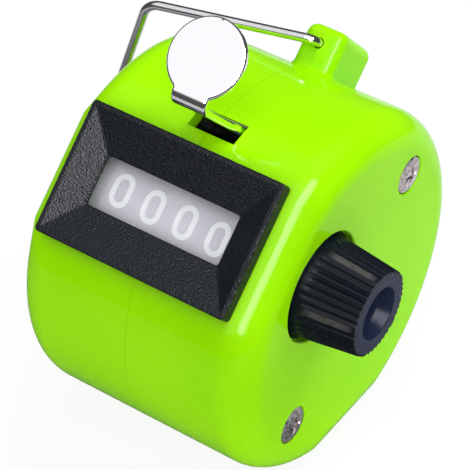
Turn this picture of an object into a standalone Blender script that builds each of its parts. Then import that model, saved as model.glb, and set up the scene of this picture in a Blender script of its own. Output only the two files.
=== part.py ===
# Hand tally counter: a drum housing in two halves with a four-wheel counter inside.
# Lengths are metres. The drum's own frame is (x, n, b): x along the drum towards the knob,
# n out of the number window, b down along the window. The drum lies tilted, on its foot flat.

import bpy
import bmesh
from math import sin, cos, pi, radians, atan2, acos, sqrt, hypot
from mathutils import Matrix, Vector

# Housing
WINDOW_TILT = radians(47.5)
DRUM_RADIUS = 0.0230
HALF_WIDTH = 0.0164
WALL = 0.0018
END_FILLET = 0.0042
FRONT_FLAT_CUT = 0.0007
FLAT_STEP = 0.0006
FOOT_CHORD_HALF = 0.0070
SEAM_X = 0.0001
SEAM_GAP = 0.00010
LIP_LENGTH = 0.0012
LIP_GAP = 0.00015
LIP_INSET = 0.0011
SEAT_GAP = 0.00010
CLEARANCE = 0.00015
RUNNING_GAP = 0.00008
CUT_OVERRUN = 0.0010

# Bezel and window
BEZEL_SIDE = 0.00401
BEZEL_SLOT_GAP = 0.00175
BEZEL_RISE = 0.00035
BEZEL_THICKNESS = 0.00175
BEZEL_RIM = 0.0005
BEZEL_DISH = 0.00135
OPENING_END_GAP = 0.00012
OPENING_HALF_HEIGHT = 0.00305
SPIGOT_WALL = 0.0012
SPIGOT_DEPTH = 0.0016
LENS_THICKNESS = 0.00045
LENS_LEDGE = 0.0005

# Number wheels
WHEEL_LENS_GAP = 0.00040
WHEEL_RADIUS_SHARE = 0.4717
RIM_GAP = 0.00036
RIM_WALL_SHARE = 0.08
WEB_HALF = 0.00045
HUB_GAP = 0.0007
WHEEL_NAMES = ("thousands", "hundreds", "tens", "units")

# Carry gearing
GEAR_RADIUS_SHARE = 0.8
GEAR_TEETH = 20
PINION_TEETH = 6
ADDENDUM_SHARE = 0.5625
DEDENDUM_SHARE = 0.8125
PINION_ROOT_SHARE = 0.40
PINION_TIP_SHARE = 0.16
GEAR_GAP_SHARE = 0.80
GEAR_GAP_FLOOR_SHARE = 0.50
STUB_SHARE = 0.33
GEAR_CARRIER_GAP = 0.00045
JOURNAL_SHARE = 1.125
HUB_SHARE = 3.0
CARRIER_THICKNESS = 0.0005
CARRIER_TAB_THICKNESS = 0.0002
CARRIER_HALF_WIDTH = 0.0026
CARRIER_TAB_HALF = 0.0016
STUB_PASS_GAP = 0.0003

# Shaft, ratchet and pawls
SHAFT_SHARE = 1.875
SHAFT_END_GAP = 0.0011
CLIP_RADIUS = 0.0030
CLIP_THICKNESS = 0.0005
RATCHET_TEETH = 10
RATCHET_RADIUS_SHARE = 0.5
RATCHET_DEPTH_SHARE = 0.22
RATCHET_THICKNESS = 0.0011
RATCHET_TOOTH_SHARES = ((0, 0), (0.08, 1), (0.2, 1), (0.62, 0.5))
PAWL_THICKNESS = 0.0008
PAWL_GAP = 0.00040
PAWL_BOSS = 0.0014
PAWL_PIN_RADIUS = 0.0007
PAWL_WIRE_RADIUS = 0.00012
PAWL_COIL_RADIUS = 0.0011
WASHER_RADIUS = 0.0029

# Frame
FRAME_THICKNESS = 0.0008
FRAME_GAP = 0.0006
FRAME_END_GAP = 0.0019
SPACER_RADIUS = 0.0012
REAR_SPACER_SHARE = 2.3
SPACER_BOSS_GAP = 0.00044
UPPER_SPACER_ANGLE = radians(56.3)
PLATE_BOSS_GAP = 0.00025
PLATE_NOTCH_HALF = 0.0018
TENON_RADIUS = 0.0007
POST_RADIUS = 0.0019
POST_TIP_RADIUS = 0.0008

# Thumb lever
SHEET = 0.0010
EYE_RADIUS = 0.0017
EYE_WALL_GAP = 0.00055
LEVER_PIVOT_ANGLE = radians(-44.6)
LEVER_STROKE = radians(9.0)
LEVER_PIN_RADIUS = 0.0009
THUMB_RADIUS = 0.00462
THUMB_RISE = 0.0050
THUMB_REACH = 0.0059
NECK_HALF = 0.00228
NECK_SHIFT = 0.00022
ARM_SHIFT = 0.00045
ARM_HALF = 0.00290
SLOT_CLEARANCE = 0.00030
BEND_RADIUS = 0.0016
SIDE_ARM_THICKNESS = 0.0007
SIDE_ARM_SHARE = 0.632
SIDE_ARM_ANGLE = radians(144.4)
SIDE_ARM_HALF = 0.0015
SPRING_WIRE_RADIUS = 0.00025
SPRING_COIL_RADIUS = 0.00155
SPRING_END_GAP = 0.0016
SPRING_PITCH = 0.00062
SPRING_LEG = 0.0028

# Knob
KNOB_FLANGE_RADIUS = 0.0067
KNOB_FLANGE_RISE = 0.0009
KNOB_FLANGE_EDGE = 0.0002
KNOB_BASE_RADIUS = 0.00624
KNOB_TIP_RADIUS = 0.0053
KNOB_REACH = 0.0076
KNOB_DISH_RADIUS = 0.0033
KNOB_DISH_FLOOR = 0.0024
KNOB_DISH_DEPTH = 0.0017
KNOB_SINK = 0.0010
KNOB_CHAMFER = 0.00012
POCKET_GAP = 0.00045
POCKET_WALL = 0.0010
SHAFT_IN_KNOB = 0.0045

# Screws and their bosses
SCREW_N = 0.0006
SCREW_EDGE_GAP = 0.0050
SCREW_HEAD_RADIUS = 0.00232
SCREW_HEAD_HEIGHT = 0.00085
SCREW_HEAD_SINK = 0.00025
SCREW_RADIUS = 0.00125
SCREW_END_WALL = 0.0036
CROSS_LENGTH = 0.0026
CROSS_WIDTH = 0.00055
CROSS_DEPTH = 0.0005
BOSS_RADIUS = 0.0027

# Lug and wire loop
LUG_HALF = 0.00275
LUG_FRONT_N = 0.0040
LUG_BACK_N = 0.0058
LUG_SHIFT = 0.0002
LUG_HEIGHT = 0.0054
LUG_HOLE_HEIGHT = 0.0031
LUG_EDGE = 0.0010
LUG_FRONT_ROUND = 0.0014
LUG_BACK_ROUND = 0.0026
LUG_ROOT = 0.0010
WIRE_RADIUS = 0.00060
WIRE_HOLE_GAP = 0.00010
WIRE_STANDOFF = 0.0014
WIRE_END_GAP = 0.0006
LOOP_SIDE_GAP = 0.0067
LOOP_DROP = 0.0042
LOOP_LEG_SHARES = (-0.400, -0.891, 0.887)
LOOP_BACK_SHARES = (-0.174, -1.304, -0.217)
LOOP_REAR_SHARE = 0.361
LOOP_BEND = 0.0022
LOOP_TIGHT_BEND = 0.0012

# Smoothness
ROUND_STEPS = 24
WHEEL_STEPS = 50
THUMB_STEPS = 32
FLARE_STEPS = 4
FILLET_STEPS = 6
LOWER_ARC_STEPS = 15
UPPER_ARC_STEPS = 29
CARRY_STUBS = 2
WIRE_SIDES = 8

# Worked out from the sizes above: across the drum
CAVITY_RADIUS = DRUM_RADIUS - WALL
REACH = CAVITY_RADIUS
FRONT_FLAT_N = DRUM_RADIUS - FRONT_FLAT_CUT
FOOT_DISTANCE = sqrt(DRUM_RADIUS ** 2 - FOOT_CHORD_HALF ** 2)
FOOT_ANGLE = atan2(cos(WINDOW_TILT), -sin(WINDOW_TILT))
BEZEL_BASE_N = FRONT_FLAT_N + SEAT_GAP
BEZEL_TOP_N = BEZEL_BASE_N + BEZEL_THICKNESS
LENS_BOTTOM_N = BEZEL_BASE_N - SPIGOT_DEPTH
WHEEL_RADIUS = CAVITY_RADIUS * WHEEL_RADIUS_SHARE
RIM_WALL = WHEEL_RADIUS * RIM_WALL_SHARE
AXIS_N = LENS_BOTTOM_N - WHEEL_LENS_GAP - WHEEL_RADIUS
GEAR_PITCH_RADIUS = WHEEL_RADIUS * GEAR_RADIUS_SHARE
GEAR_MODULE = 2 * GEAR_PITCH_RADIUS / GEAR_TEETH
TOOTH_ADDENDUM = GEAR_MODULE * ADDENDUM_SHARE
TOOTH_DEDENDUM = GEAR_MODULE * DEDENDUM_SHARE
PINION_PITCH_RADIUS = GEAR_MODULE * PINION_TEETH / 2
PINION_DISTANCE = GEAR_PITCH_RADIUS - PINION_PITCH_RADIUS
PINION_N = AXIS_N - PINION_DISTANCE
PINION_TIP_RADIUS = PINION_PITCH_RADIUS + TOOTH_ADDENDUM
PINION_JOURNAL = GEAR_MODULE * JOURNAL_SHARE
HUB_RADIUS = GEAR_MODULE * HUB_SHARE
SHAFT_RADIUS = GEAR_MODULE * SHAFT_SHARE
CARRY_STUB_DEPTH = WHEEL_RADIUS - RIM_WALL - PINION_DISTANCE - PINION_TIP_RADIUS - STUB_PASS_GAP
RATCHET_RADIUS = WHEEL_RADIUS * RATCHET_RADIUS_SHARE
RATCHET_DEPTH = RATCHET_RADIUS * RATCHET_DEPTH_SHARE
REAR_SPACER_N = AXIS_N - WHEEL_RADIUS - REAR_SPACER_SHARE * SPACER_RADIUS
PIVOT_DISTANCE = CAVITY_RADIUS - EYE_WALL_GAP - EYE_RADIUS
PIVOT_N = PIVOT_DISTANCE * cos(LEVER_PIVOT_ANGLE)
PIVOT_B = PIVOT_DISTANCE * sin(LEVER_PIVOT_ANGLE)
ARM_B = PIVOT_B + EYE_RADIUS
SLOT_TOP_B = ARM_B - SHEET - SLOT_CLEARANCE
SLOT_N = sqrt(DRUM_RADIUS ** 2 - ARM_B ** 2)
SLOT_BOTTOM_B = ARM_B + (SLOT_N - PIVOT_N + SHEET) * sin(LEVER_STROKE) + CLEARANCE
THUMB_N = DRUM_RADIUS + THUMB_RISE
THUMB_B = THUMB_REACH - ARM_B
SIDE_ARM_LENGTH = CAVITY_RADIUS * SIDE_ARM_SHARE
PAWL_N = PIVOT_N + SIDE_ARM_LENGTH * cos(SIDE_ARM_ANGLE)
PAWL_B = PIVOT_B + SIDE_ARM_LENGTH * sin(SIDE_ARM_ANGLE)
BEZEL_HALF_HEIGHT = -SLOT_BOTTOM_B - BEZEL_RISE - BEZEL_SLOT_GAP
FRONT_FLAT_HALF = BEZEL_HALF_HEIGHT - FLAT_STEP
SCREW_B = CAVITY_RADIUS - SCREW_EDGE_GAP
SPACER_WAY = (cos(UPPER_SPACER_ANGLE), sin(UPPER_SPACER_ANGLE))
UPPER_SPACER_N = SCREW_N + (BOSS_RADIUS + SPACER_BOSS_GAP + SPACER_RADIUS) * SPACER_WAY[0]
UPPER_SPACER_B = -SCREW_B + (BOSS_RADIUS + SPACER_BOSS_GAP + SPACER_RADIUS) * SPACER_WAY[1]
LUG_TOP = DRUM_RADIUS + LUG_HEIGHT
LUG_HOLE_B = DRUM_RADIUS + LUG_HOLE_HEIGHT

# Worked out from the sizes above: along the drum
INNER_END = HALF_WIDTH - WALL
SCREW_SEAT_X = HALF_WIDTH - SCREW_HEAD_SINK - SCREW_HEAD_HEIGHT - SEAT_GAP
SCREW_END = INNER_END - SCREW_END_WALL
SHAFT_LEFT = INNER_END - SHAFT_END_GAP
KNOB_TIP_X = HALF_WIDTH + KNOB_REACH
POCKET_FLOOR_X = HALF_WIDTH - KNOB_SINK - SEAT_GAP
POCKET_BACK_X = POCKET_FLOOR_X - POCKET_WALL
RIGHT_FRAME_X = POCKET_BACK_X - FRAME_END_GAP
SIDE_ARM_X = RIGHT_FRAME_X - FRAME_THICKNESS - PAWL_GAP - SIDE_ARM_THICKNESS
RATCHET_X = SIDE_ARM_X - PAWL_GAP - RATCHET_THICKNESS
STACK_END = RATCHET_X
WHEEL_PITCH = 2 * STACK_END / len(WHEEL_NAMES)
WHEEL_X = [WHEEL_PITCH * (k - (len(WHEEL_NAMES) - 1) / 2) for k in range(len(WHEEL_NAMES))]
GEAR_WIDTH = WHEEL_PITCH / 2 - WEB_HALF - CARRIER_THICKNESS / 2 - GEAR_CARRIER_GAP
LEFT_FRAME_X = -STACK_END - FRAME_GAP / 2
OPENING_HALF_LENGTH = STACK_END + OPENING_END_GAP
BEZEL_HALF_LENGTH = OPENING_HALF_LENGTH + BEZEL_SIDE
LOOP_REACH = HALF_WIDTH + LOOP_SIDE_GAP
ARM_LEFT_X = ARM_SHIFT - ARM_HALF
ARM_RIGHT_X = ARM_SHIFT + ARM_HALF
SPRING_TURNS = int((ARM_LEFT_X - LEFT_FRAME_X - SPRING_END_GAP) / SPRING_PITCH) - 1

# Places on the frame plates, as shares of the cavity's radius
LOWER_SPACER_SHARES = (0.730, 0.566)
POST_SHARES = ((0.259, -0.425), (0.118, 0.377))
HOLDING_PAWL_SHARES = (0.401, 0.448)
FRAME_OUTLINE_SHARES = (
    (0.495, -0.736), (0.675, -0.689), (0.877, -0.377), (0.877, 0.377), (0.764, 0.585), (0.613, 0.670),
    (0.236, 0.542), (-0.071, 0.307), (-0.230, 0.094), (-0.230, -0.094), (-0.047, -0.425),
)


def clear_scene():
    for old in list(bpy.data.objects):
        bpy.data.objects.remove(old, do_unlink=True)


def finish(name, colour, roughness, metallic=0.0):
    material = bpy.data.materials.new(name)
    material.use_nodes = True
    shader = material.node_tree.nodes["Principled BSDF"]
    shader.inputs["Base Color"].default_value = (*colour, 1.0)
    shader.inputs["Roughness"].default_value = roughness
    shader.inputs["Metallic"].default_value = metallic
    return material


def make_drum_frame():
    frame = bpy.data.objects.new("drum_axis", None)
    bpy.context.scene.collection.objects.link(frame)
    frame.location = (0, 0, FOOT_DISTANCE)
    frame.rotation_euler = (pi - WINDOW_TILT, 0, 0)
    return frame


def add_piece(name, bm, material, pivot=(0, 0, 0)):
    bmesh.ops.recalc_face_normals(bm, faces=bm.faces)
    bm.transform(Matrix.Translation(-Vector(pivot)))
    mesh = bpy.data.meshes.new(name)
    bm.to_mesh(mesh)
    bm.free()
    mesh.materials.append(material)
    piece = bpy.data.objects.new(name, mesh)
    bpy.context.scene.collection.objects.link(piece)
    piece.parent = DRUM
    piece.location = pivot
    return piece


def use_tool(piece, tool, operation):
    tool.hide_render = True
    tool.display_type = "WIRE"
    step = piece.modifiers.new(tool.name, "BOOLEAN")
    step.operation = operation
    step.solver = "EXACT"
    step.object = tool


def cut(piece, *tools):
    for tool in tools:
        use_tool(piece, tool, "DIFFERENCE")


def fuse(piece, *tools):
    for tool in tools:
        use_tool(piece, tool, "UNION")


def shade_round(piece, angle=radians(35)):
    piece.data.shade_smooth()
    piece.data.set_sharp_from_angle(angle=angle)


def loft(rings):
    """A closed solid through rings that all have the same number of points."""
    bm = bmesh.new()
    rows = [[bm.verts.new(point) for point in ring] for ring in rings]
    count = len(rows[0])
    for low, high in zip(rows, rows[1:]):
        for k in range(count):
            bm.faces.new((low[k], low[(k + 1) % count], high[(k + 1) % count], high[k]))
    bm.faces.new(rows[0])
    bm.faces.new(rows[-1])
    return bm


def prism(axis, outline, low, high):
    """An outline carried along x (0), n (1) or b (2). It is given in the other two, in order."""
    def place(u, v, w):
        return ((w, u, v), (u, w, v), (u, v, w))[axis]
    return loft([[place(u, v, w) for u, v in outline] for w in (low, high)])


def box(x0, x1, n0, n1, b0, b1):
    return prism(0, [(n0, b0), (n1, b0), (n1, b1), (n0, b1)], x0, x1)


def disc_outline(radius, centre=(0, 0), steps=ROUND_STEPS, start=0.0):
    angles = [start + 2 * pi * k / steps for k in range(steps)]
    return [(centre[0] + radius * cos(a), centre[1] + radius * sin(a)) for a in angles]


def rod(radius, x0, x1, centre=(0, 0), steps=ROUND_STEPS):
    return prism(0, disc_outline(radius, centre, steps), x0, x1)


def turned(profile, centre=(0, 0), steps=ROUND_STEPS, closed=True):
    """A profile of (x, radius) points turned round a line along x through centre."""
    bm = bmesh.new()
    rows = []
    for x, radius in profile:
        if radius == 0:
            rows.append([bm.verts.new((x, *centre))])
        else:
            rows.append([bm.verts.new((x, n, b)) for n, b in disc_outline(radius, centre, steps)])
    pairs = list(zip(rows, rows[1:]))
    if closed:
        pairs.append((rows[-1], rows[0]))
    for low, high in pairs:
        for k in range(steps):
            j = (k + 1) % steps
            if len(low) == 1:
                bm.faces.new((low[0], high[j], high[k]))
            elif len(high) == 1:
                bm.faces.new((low[k], low[j], high[0]))
            else:
                bm.faces.new((low[k], low[j], high[j], high[k]))
    return bm


def rod_steps(sizes, centre=(0, 0), steps=ROUND_STEPS):
    """A solid turned rod from (x, radius) corners, closed on its axis at both ends."""
    return turned([(sizes[0][0], 0)] + list(sizes) + [(sizes[-1][0], 0)], centre, steps, False)


def ring(inner, outer, x0, x1, centre=(0, 0), steps=ROUND_STEPS):
    return turned([(x0, outer), (x1, outer), (x1, inner), (x0, inner)], centre, steps)


def tube(path, radius, sides=WIRE_SIDES):
    """A round wire along a list of points, closed at both ends."""
    points = [Vector(p) for p in path]
    rows = []
    last = None
    for k, point in enumerate(points):
        ahead = points[min(k + 1, len(points) - 1)] - points[max(k - 1, 0)]
        ahead.normalize()
        if last is None:
            side = ahead.orthogonal().normalized()
        else:
            side = (last - ahead * last.dot(ahead)).normalized()
        last = side
        other = ahead.cross(side)
        rows.append([point + radius * (cos(a) * side + sin(a) * other)
                     for a in (2 * pi * j / sides for j in range(sides))])
    return loft(rows)


def rounded_path(corners, bends, step=radians(18)):
    """The corners joined by straight runs, each inner corner turned on its own bend radius."""
    points = [Vector(p) for p in corners]
    path = [points[0]]
    for before, corner, after, bend in zip(points, points[1:], points[2:], bends):
        back = (before - corner).normalized()
        on = (after - corner).normalized()
        turn = pi - back.angle(on)
        tangent = bend * sin(turn / 2) / cos(turn / 2)
        centre = corner + (back + on).normalized() * (bend / cos(turn / 2))
        first = corner + back * tangent - centre
        normal = first.cross(corner + on * tangent - centre).normalized()
        count = max(2, int(turn / step) + 1)
        for k in range(count + 1):
            path.append(centre + Matrix.Rotation(turn * k / count, 3, normal) @ first)
    path.append(points[-1])
    return path


def join_meshes(meshes):
    """Several solids that stand apart, as one tool."""
    whole = bmesh.new()
    for bm in meshes:
        part = bpy.data.meshes.new("part")
        bmesh.ops.recalc_face_normals(bm, faces=bm.faces)
        bm.to_mesh(part)
        bm.free()
        whole.from_mesh(part)
        bpy.data.meshes.remove(part)
    return whole


# Housing

def drum_outline(inset):
    """The housing's cross-section in (n, b): a circle, a flat front and a flat foot."""
    radius = DRUM_RADIUS - inset
    flat_n = FRONT_FLAT_N - inset
    flat_b = FRONT_FLAT_HALF - inset / 2
    corner = hypot(flat_n, flat_b)
    meet = atan2(flat_b, flat_n) + acos(min(1, radius / corner))
    foot_half = acos((FOOT_DISTANCE - inset) / radius)
    lower = [meet + (FOOT_ANGLE - foot_half - meet) * k / LOWER_ARC_STEPS for k in range(LOWER_ARC_STEPS + 1)]
    start = FOOT_ANGLE + foot_half
    upper = [start + (2 * pi - meet - start) * k / UPPER_ARC_STEPS for k in range(UPPER_ARC_STEPS + 1)]
    arc = [(radius * cos(a), radius * sin(a)) for a in lower + upper]
    return [(flat_n, flat_b)] + arc + [(flat_n, -flat_b)]


def drum_half(side, start, inset, end, fillet, steps=FILLET_STEPS):
    """A half drum from the seam out to its rounded end. side is 1 to the knob, -1 away from it."""
    sections = [(start, 0)]
    for k in range(steps + 1):
        angle = pi / 2 * k / steps
        sections.append((side * (end - fillet + fillet * sin(angle)), fillet * (1 - cos(angle))))
    return loft([[(x, n, b) for n, b in drum_outline(inset + extra)] for x, extra in sections])


def lug_half(side, start):
    """Half of the lug that holds the wire, rounded over its top and along its side edges."""
    outer = LUG_SHIFT + side * LUG_HALF
    foot = -DRUM_RADIUS + LUG_ROOT

    def section(x, inset):
        front = LUG_FRONT_N - inset
        back = inset - LUG_BACK_N
        top = inset - LUG_TOP
        corners = [(x, front, foot), (x, front, top), (x, back, top), (x, back, foot)]
        return rounded_path(corners, [LUG_FRONT_ROUND - inset, LUG_BACK_ROUND - inset])
    rings = [section(start, 0)]
    for k in range(FILLET_STEPS // 2 + 1):
        angle = pi / 2 * k / (FILLET_STEPS // 2)
        rings.append(section(outer - side * LUG_EDGE * (1 - sin(angle)), LUG_EDGE * (1 - cos(angle))))
    return loft(rings)


def lug_hole(name):
    steps = disc_outline(WIRE_RADIUS + WIRE_HOLE_GAP, (0, -LUG_HOLE_B), ROUND_STEPS // 2)
    span = LUG_BACK_N + CUT_OVERRUN
    return add_piece(name, prism(1, steps, -span, LUG_FRONT_N + CUT_OVERRUN), TOOL)


def front_cutters(side):
    """The window's opening and the lever's slot, cut through the front of one half."""
    spigot_x = OPENING_HALF_LENGTH + SPIGOT_WALL + CLEARANCE
    spigot_b = OPENING_HALF_HEIGHT + SPIGOT_WALL + CLEARANCE
    low = FRONT_FLAT_N - WALL - CUT_OVERRUN
    high = FRONT_FLAT_N + CUT_OVERRUN
    window = box(-spigot_x, spigot_x, low, high, -BEZEL_RISE - spigot_b, -BEZEL_RISE + spigot_b)
    slot_low = ARM_LEFT_X - SLOT_CLEARANCE
    slot_high = ARM_RIGHT_X + SLOT_CLEARANCE
    slot = box(slot_low, slot_high, PIVOT_N, DRUM_RADIUS + CUT_OVERRUN, SLOT_TOP_B, SLOT_BOTTOM_B)
    return add_piece(f"window_cut_{side}", window, TOOL), add_piece(f"slot_cut_{side}", slot, TOOL)


def post_places():
    return [(REACH * n, REACH * b) for n, b in POST_SHARES]


def make_left_shell():
    start = SEAM_X - SEAM_GAP / 2
    shell = add_piece("left_shell", drum_half(-1, start, 0, HALF_WIDTH, END_FILLET), GREEN)
    lip_inset = LIP_INSET + LIP_GAP
    lip_end = start + LIP_LENGTH
    lip_rings = [[(x, n, b) for n, b in drum_outline(lip_inset)] for x in (start - LIP_LENGTH, lip_end)]
    lip = add_piece("lip_tool", loft(lip_rings), TOOL)
    hollow_rings = drum_half(-1, lip_end + CUT_OVERRUN, WALL, INNER_END, END_FILLET - WALL, FILLET_STEPS // 2)
    hollow = add_piece("left_hollow", hollow_rings, TOOL)
    lug = add_piece("left_lug", lug_half(-1, start), TOOL)
    fuse(shell, lip, lug)
    cut(shell, hollow)
    window_end = -BEZEL_RISE + OPENING_HALF_HEIGHT + SPIGOT_WALL + CLEARANCE
    lip_room = box(start, lip_end + CUT_OVERRUN, PIVOT_N, DRUM_RADIUS, SLOT_TOP_B, window_end)
    cut(shell, add_piece("lip_front_room", lip_room, TOOL))
    for k, sign in enumerate((-1, 1)):
        centre = (SCREW_N, sign * SCREW_B)
        boss = rod(BOSS_RADIUS, -INNER_END - WALL / 2, start, centre)
        fuse(shell, add_piece(f"left_boss_{k}", boss, TOOL))
        bore = rod(SCREW_RADIUS + CLEARANCE, -SCREW_END - CUT_OVERRUN, lip_end + 2 * CUT_OVERRUN, centre)
        cut(shell, add_piece(f"left_bore_{k}", bore, TOOL))
    shoulder = LEFT_FRAME_X - FRAME_THICKNESS - SEAT_GAP
    for k, centre in enumerate(post_places()):
        post = rod_steps([(-INNER_END - WALL / 2, POST_RADIUS), (shoulder, POST_RADIUS),
                          (shoulder, POST_TIP_RADIUS), (LEFT_FRAME_X, POST_TIP_RADIUS)], centre)
        fuse(shell, add_piece(f"left_post_{k}", post, TOOL))
    socket = ring(SHAFT_RADIUS + RUNNING_GAP, HUB_RADIUS + CLEARANCE, -INNER_END - WALL / 2,
                  -SHAFT_LEFT + FRAME_THICKNESS, (AXIS_N, 0))
    fuse(shell, add_piece("left_socket", socket, TOOL))
    cut(shell, *front_cutters("left"), lug_hole("left_lug_hole"))
    shade_round(shell)


def make_right_shell():
    start = SEAM_X + SEAM_GAP / 2
    shell = add_piece("right_shell", drum_half(1, start, 0, HALF_WIDTH, END_FILLET), GREEN)
    hollow_half = drum_half(1, start - CUT_OVERRUN, WALL, INNER_END, END_FILLET - WALL, FILLET_STEPS // 2)
    hollow = add_piece("right_hollow", hollow_half, TOOL)
    rebate_rings = [[(x, n, b) for n, b in drum_outline(LIP_INSET)]
                    for x in (start - CUT_OVERRUN, start + LIP_LENGTH + LIP_GAP)]
    rebate = add_piece("rebate_tool", loft(rebate_rings), TOOL)
    lug = add_piece("right_lug", lug_half(1, start), TOOL)
    fuse(shell, lug)
    cut(shell, hollow, rebate)
    boss_start = start + LIP_LENGTH + 2 * LIP_GAP
    pocket_radius = KNOB_FLANGE_RADIUS + POCKET_GAP
    cup = rod(pocket_radius + POCKET_WALL, POCKET_BACK_X, HALF_WIDTH - WALL / 2, (AXIS_N, 0))
    fuse(shell, add_piece("pocket_cup", cup, TOOL))
    for k, sign in enumerate((-1, 1)):
        centre = (SCREW_N, sign * SCREW_B)
        boss = rod(BOSS_RADIUS, boss_start, HALF_WIDTH - WALL / 2, centre)
        fuse(shell, add_piece(f"right_boss_{k}", boss, TOOL))
        bore = rod_steps([(start, SCREW_RADIUS + CLEARANCE), (SCREW_SEAT_X, SCREW_RADIUS + CLEARANCE),
                          (SCREW_SEAT_X, SCREW_HEAD_RADIUS + CLEARANCE),
                          (HALF_WIDTH + CUT_OVERRUN, SCREW_HEAD_RADIUS + CLEARANCE)], centre)
        cut(shell, add_piece(f"right_bore_{k}", bore, TOOL))
    shoulder = RIGHT_FRAME_X + SEAT_GAP
    tip = RIGHT_FRAME_X - FRAME_THICKNESS
    for k, centre in enumerate(post_places()):
        post = rod_steps([(tip, POST_TIP_RADIUS), (shoulder, POST_TIP_RADIUS), (shoulder, POST_RADIUS),
                          (HALF_WIDTH - WALL / 2, POST_RADIUS)], centre)
        fuse(shell, add_piece(f"right_post_{k}", post, TOOL))
    pocket = rod_steps([(start, SHAFT_RADIUS + CLEARANCE), (POCKET_FLOOR_X, SHAFT_RADIUS + CLEARANCE),
                        (POCKET_FLOOR_X, pocket_radius), (HALF_WIDTH + CUT_OVERRUN, pocket_radius)],
                       (AXIS_N, 0), 2 * ROUND_STEPS)
    cut(shell, add_piece("pocket_tool", pocket, TOOL), *front_cutters("right"), lug_hole("right_lug_hole"))
    shade_round(shell)


def rectangle_ring(half_x, half_b, n):
    return [(-half_x, n, -BEZEL_RISE - half_b), (half_x, n, -BEZEL_RISE - half_b),
            (half_x, n, -BEZEL_RISE + half_b), (-half_x, n, -BEZEL_RISE + half_b)]


def make_bezel():
    rim_x = BEZEL_HALF_LENGTH - BEZEL_RIM
    rim_b = BEZEL_HALF_HEIGHT - BEZEL_RIM
    spigot_x = OPENING_HALF_LENGTH + SPIGOT_WALL
    spigot_b = OPENING_HALF_HEIGHT + SPIGOT_WALL
    ledge_n = LENS_BOTTOM_N + LENS_THICKNESS + SEAT_GAP
    rings = [
        rectangle_ring(BEZEL_HALF_LENGTH, BEZEL_HALF_HEIGHT, BEZEL_BASE_N),
        rectangle_ring(BEZEL_HALF_LENGTH, BEZEL_HALF_HEIGHT, BEZEL_TOP_N),
        rectangle_ring(rim_x, rim_b, BEZEL_TOP_N),
        rectangle_ring(OPENING_HALF_LENGTH, OPENING_HALF_HEIGHT, BEZEL_TOP_N - BEZEL_DISH),
        rectangle_ring(OPENING_HALF_LENGTH, OPENING_HALF_HEIGHT, ledge_n),
        rectangle_ring(OPENING_HALF_LENGTH + LENS_LEDGE + CLEARANCE,
                       OPENING_HALF_HEIGHT + LENS_LEDGE + CLEARANCE, ledge_n),
        rectangle_ring(OPENING_HALF_LENGTH + LENS_LEDGE + CLEARANCE,
                       OPENING_HALF_HEIGHT + LENS_LEDGE + CLEARANCE, LENS_BOTTOM_N),
        rectangle_ring(spigot_x, spigot_b, LENS_BOTTOM_N),
        rectangle_ring(spigot_x, spigot_b, BEZEL_BASE_N),
    ]
    bm = bmesh.new()
    rows = [[bm.verts.new(p) for p in points] for points in rings]
    for low, high in zip(rows, rows[1:] + rows[:1]):
        for k in range(4):
            bm.faces.new((low[k], low[(k + 1) % 4], high[(k + 1) % 4], high[k]))
    add_piece("window_bezel", bm, BLACK)
    lens_x = OPENING_HALF_LENGTH + LENS_LEDGE
    lens_b = OPENING_HALF_HEIGHT + LENS_LEDGE
    lens = box(-lens_x, lens_x, LENS_BOTTOM_N, LENS_BOTTOM_N + LENS_THICKNESS,
               -BEZEL_RISE - lens_b, -BEZEL_RISE + lens_b)
    add_piece("window_lens", lens, CLEAR)


# Counter mechanism

def tooth_outline(count, tip_radius, root_radius, tip_share, root_share, centre=(0, 0), start=0.0):
    """A toothed outline with straight-sided teeth, each a share of the pitch wide at tip and root."""
    pitch_angle = 2 * pi / count
    root_half = pitch_angle * root_share / 2
    tip_half = pitch_angle * tip_share / 2
    outline = []
    for k in range(count):
        middle = start + pitch_angle * k
        for angle, radius in ((middle - root_half, root_radius), (middle - tip_half, tip_radius),
                              (middle + tip_half, tip_radius), (middle + root_half, root_radius)):
            outline.append((centre[0] + radius * cos(angle), centre[1] + radius * sin(angle)))
    return outline


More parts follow.
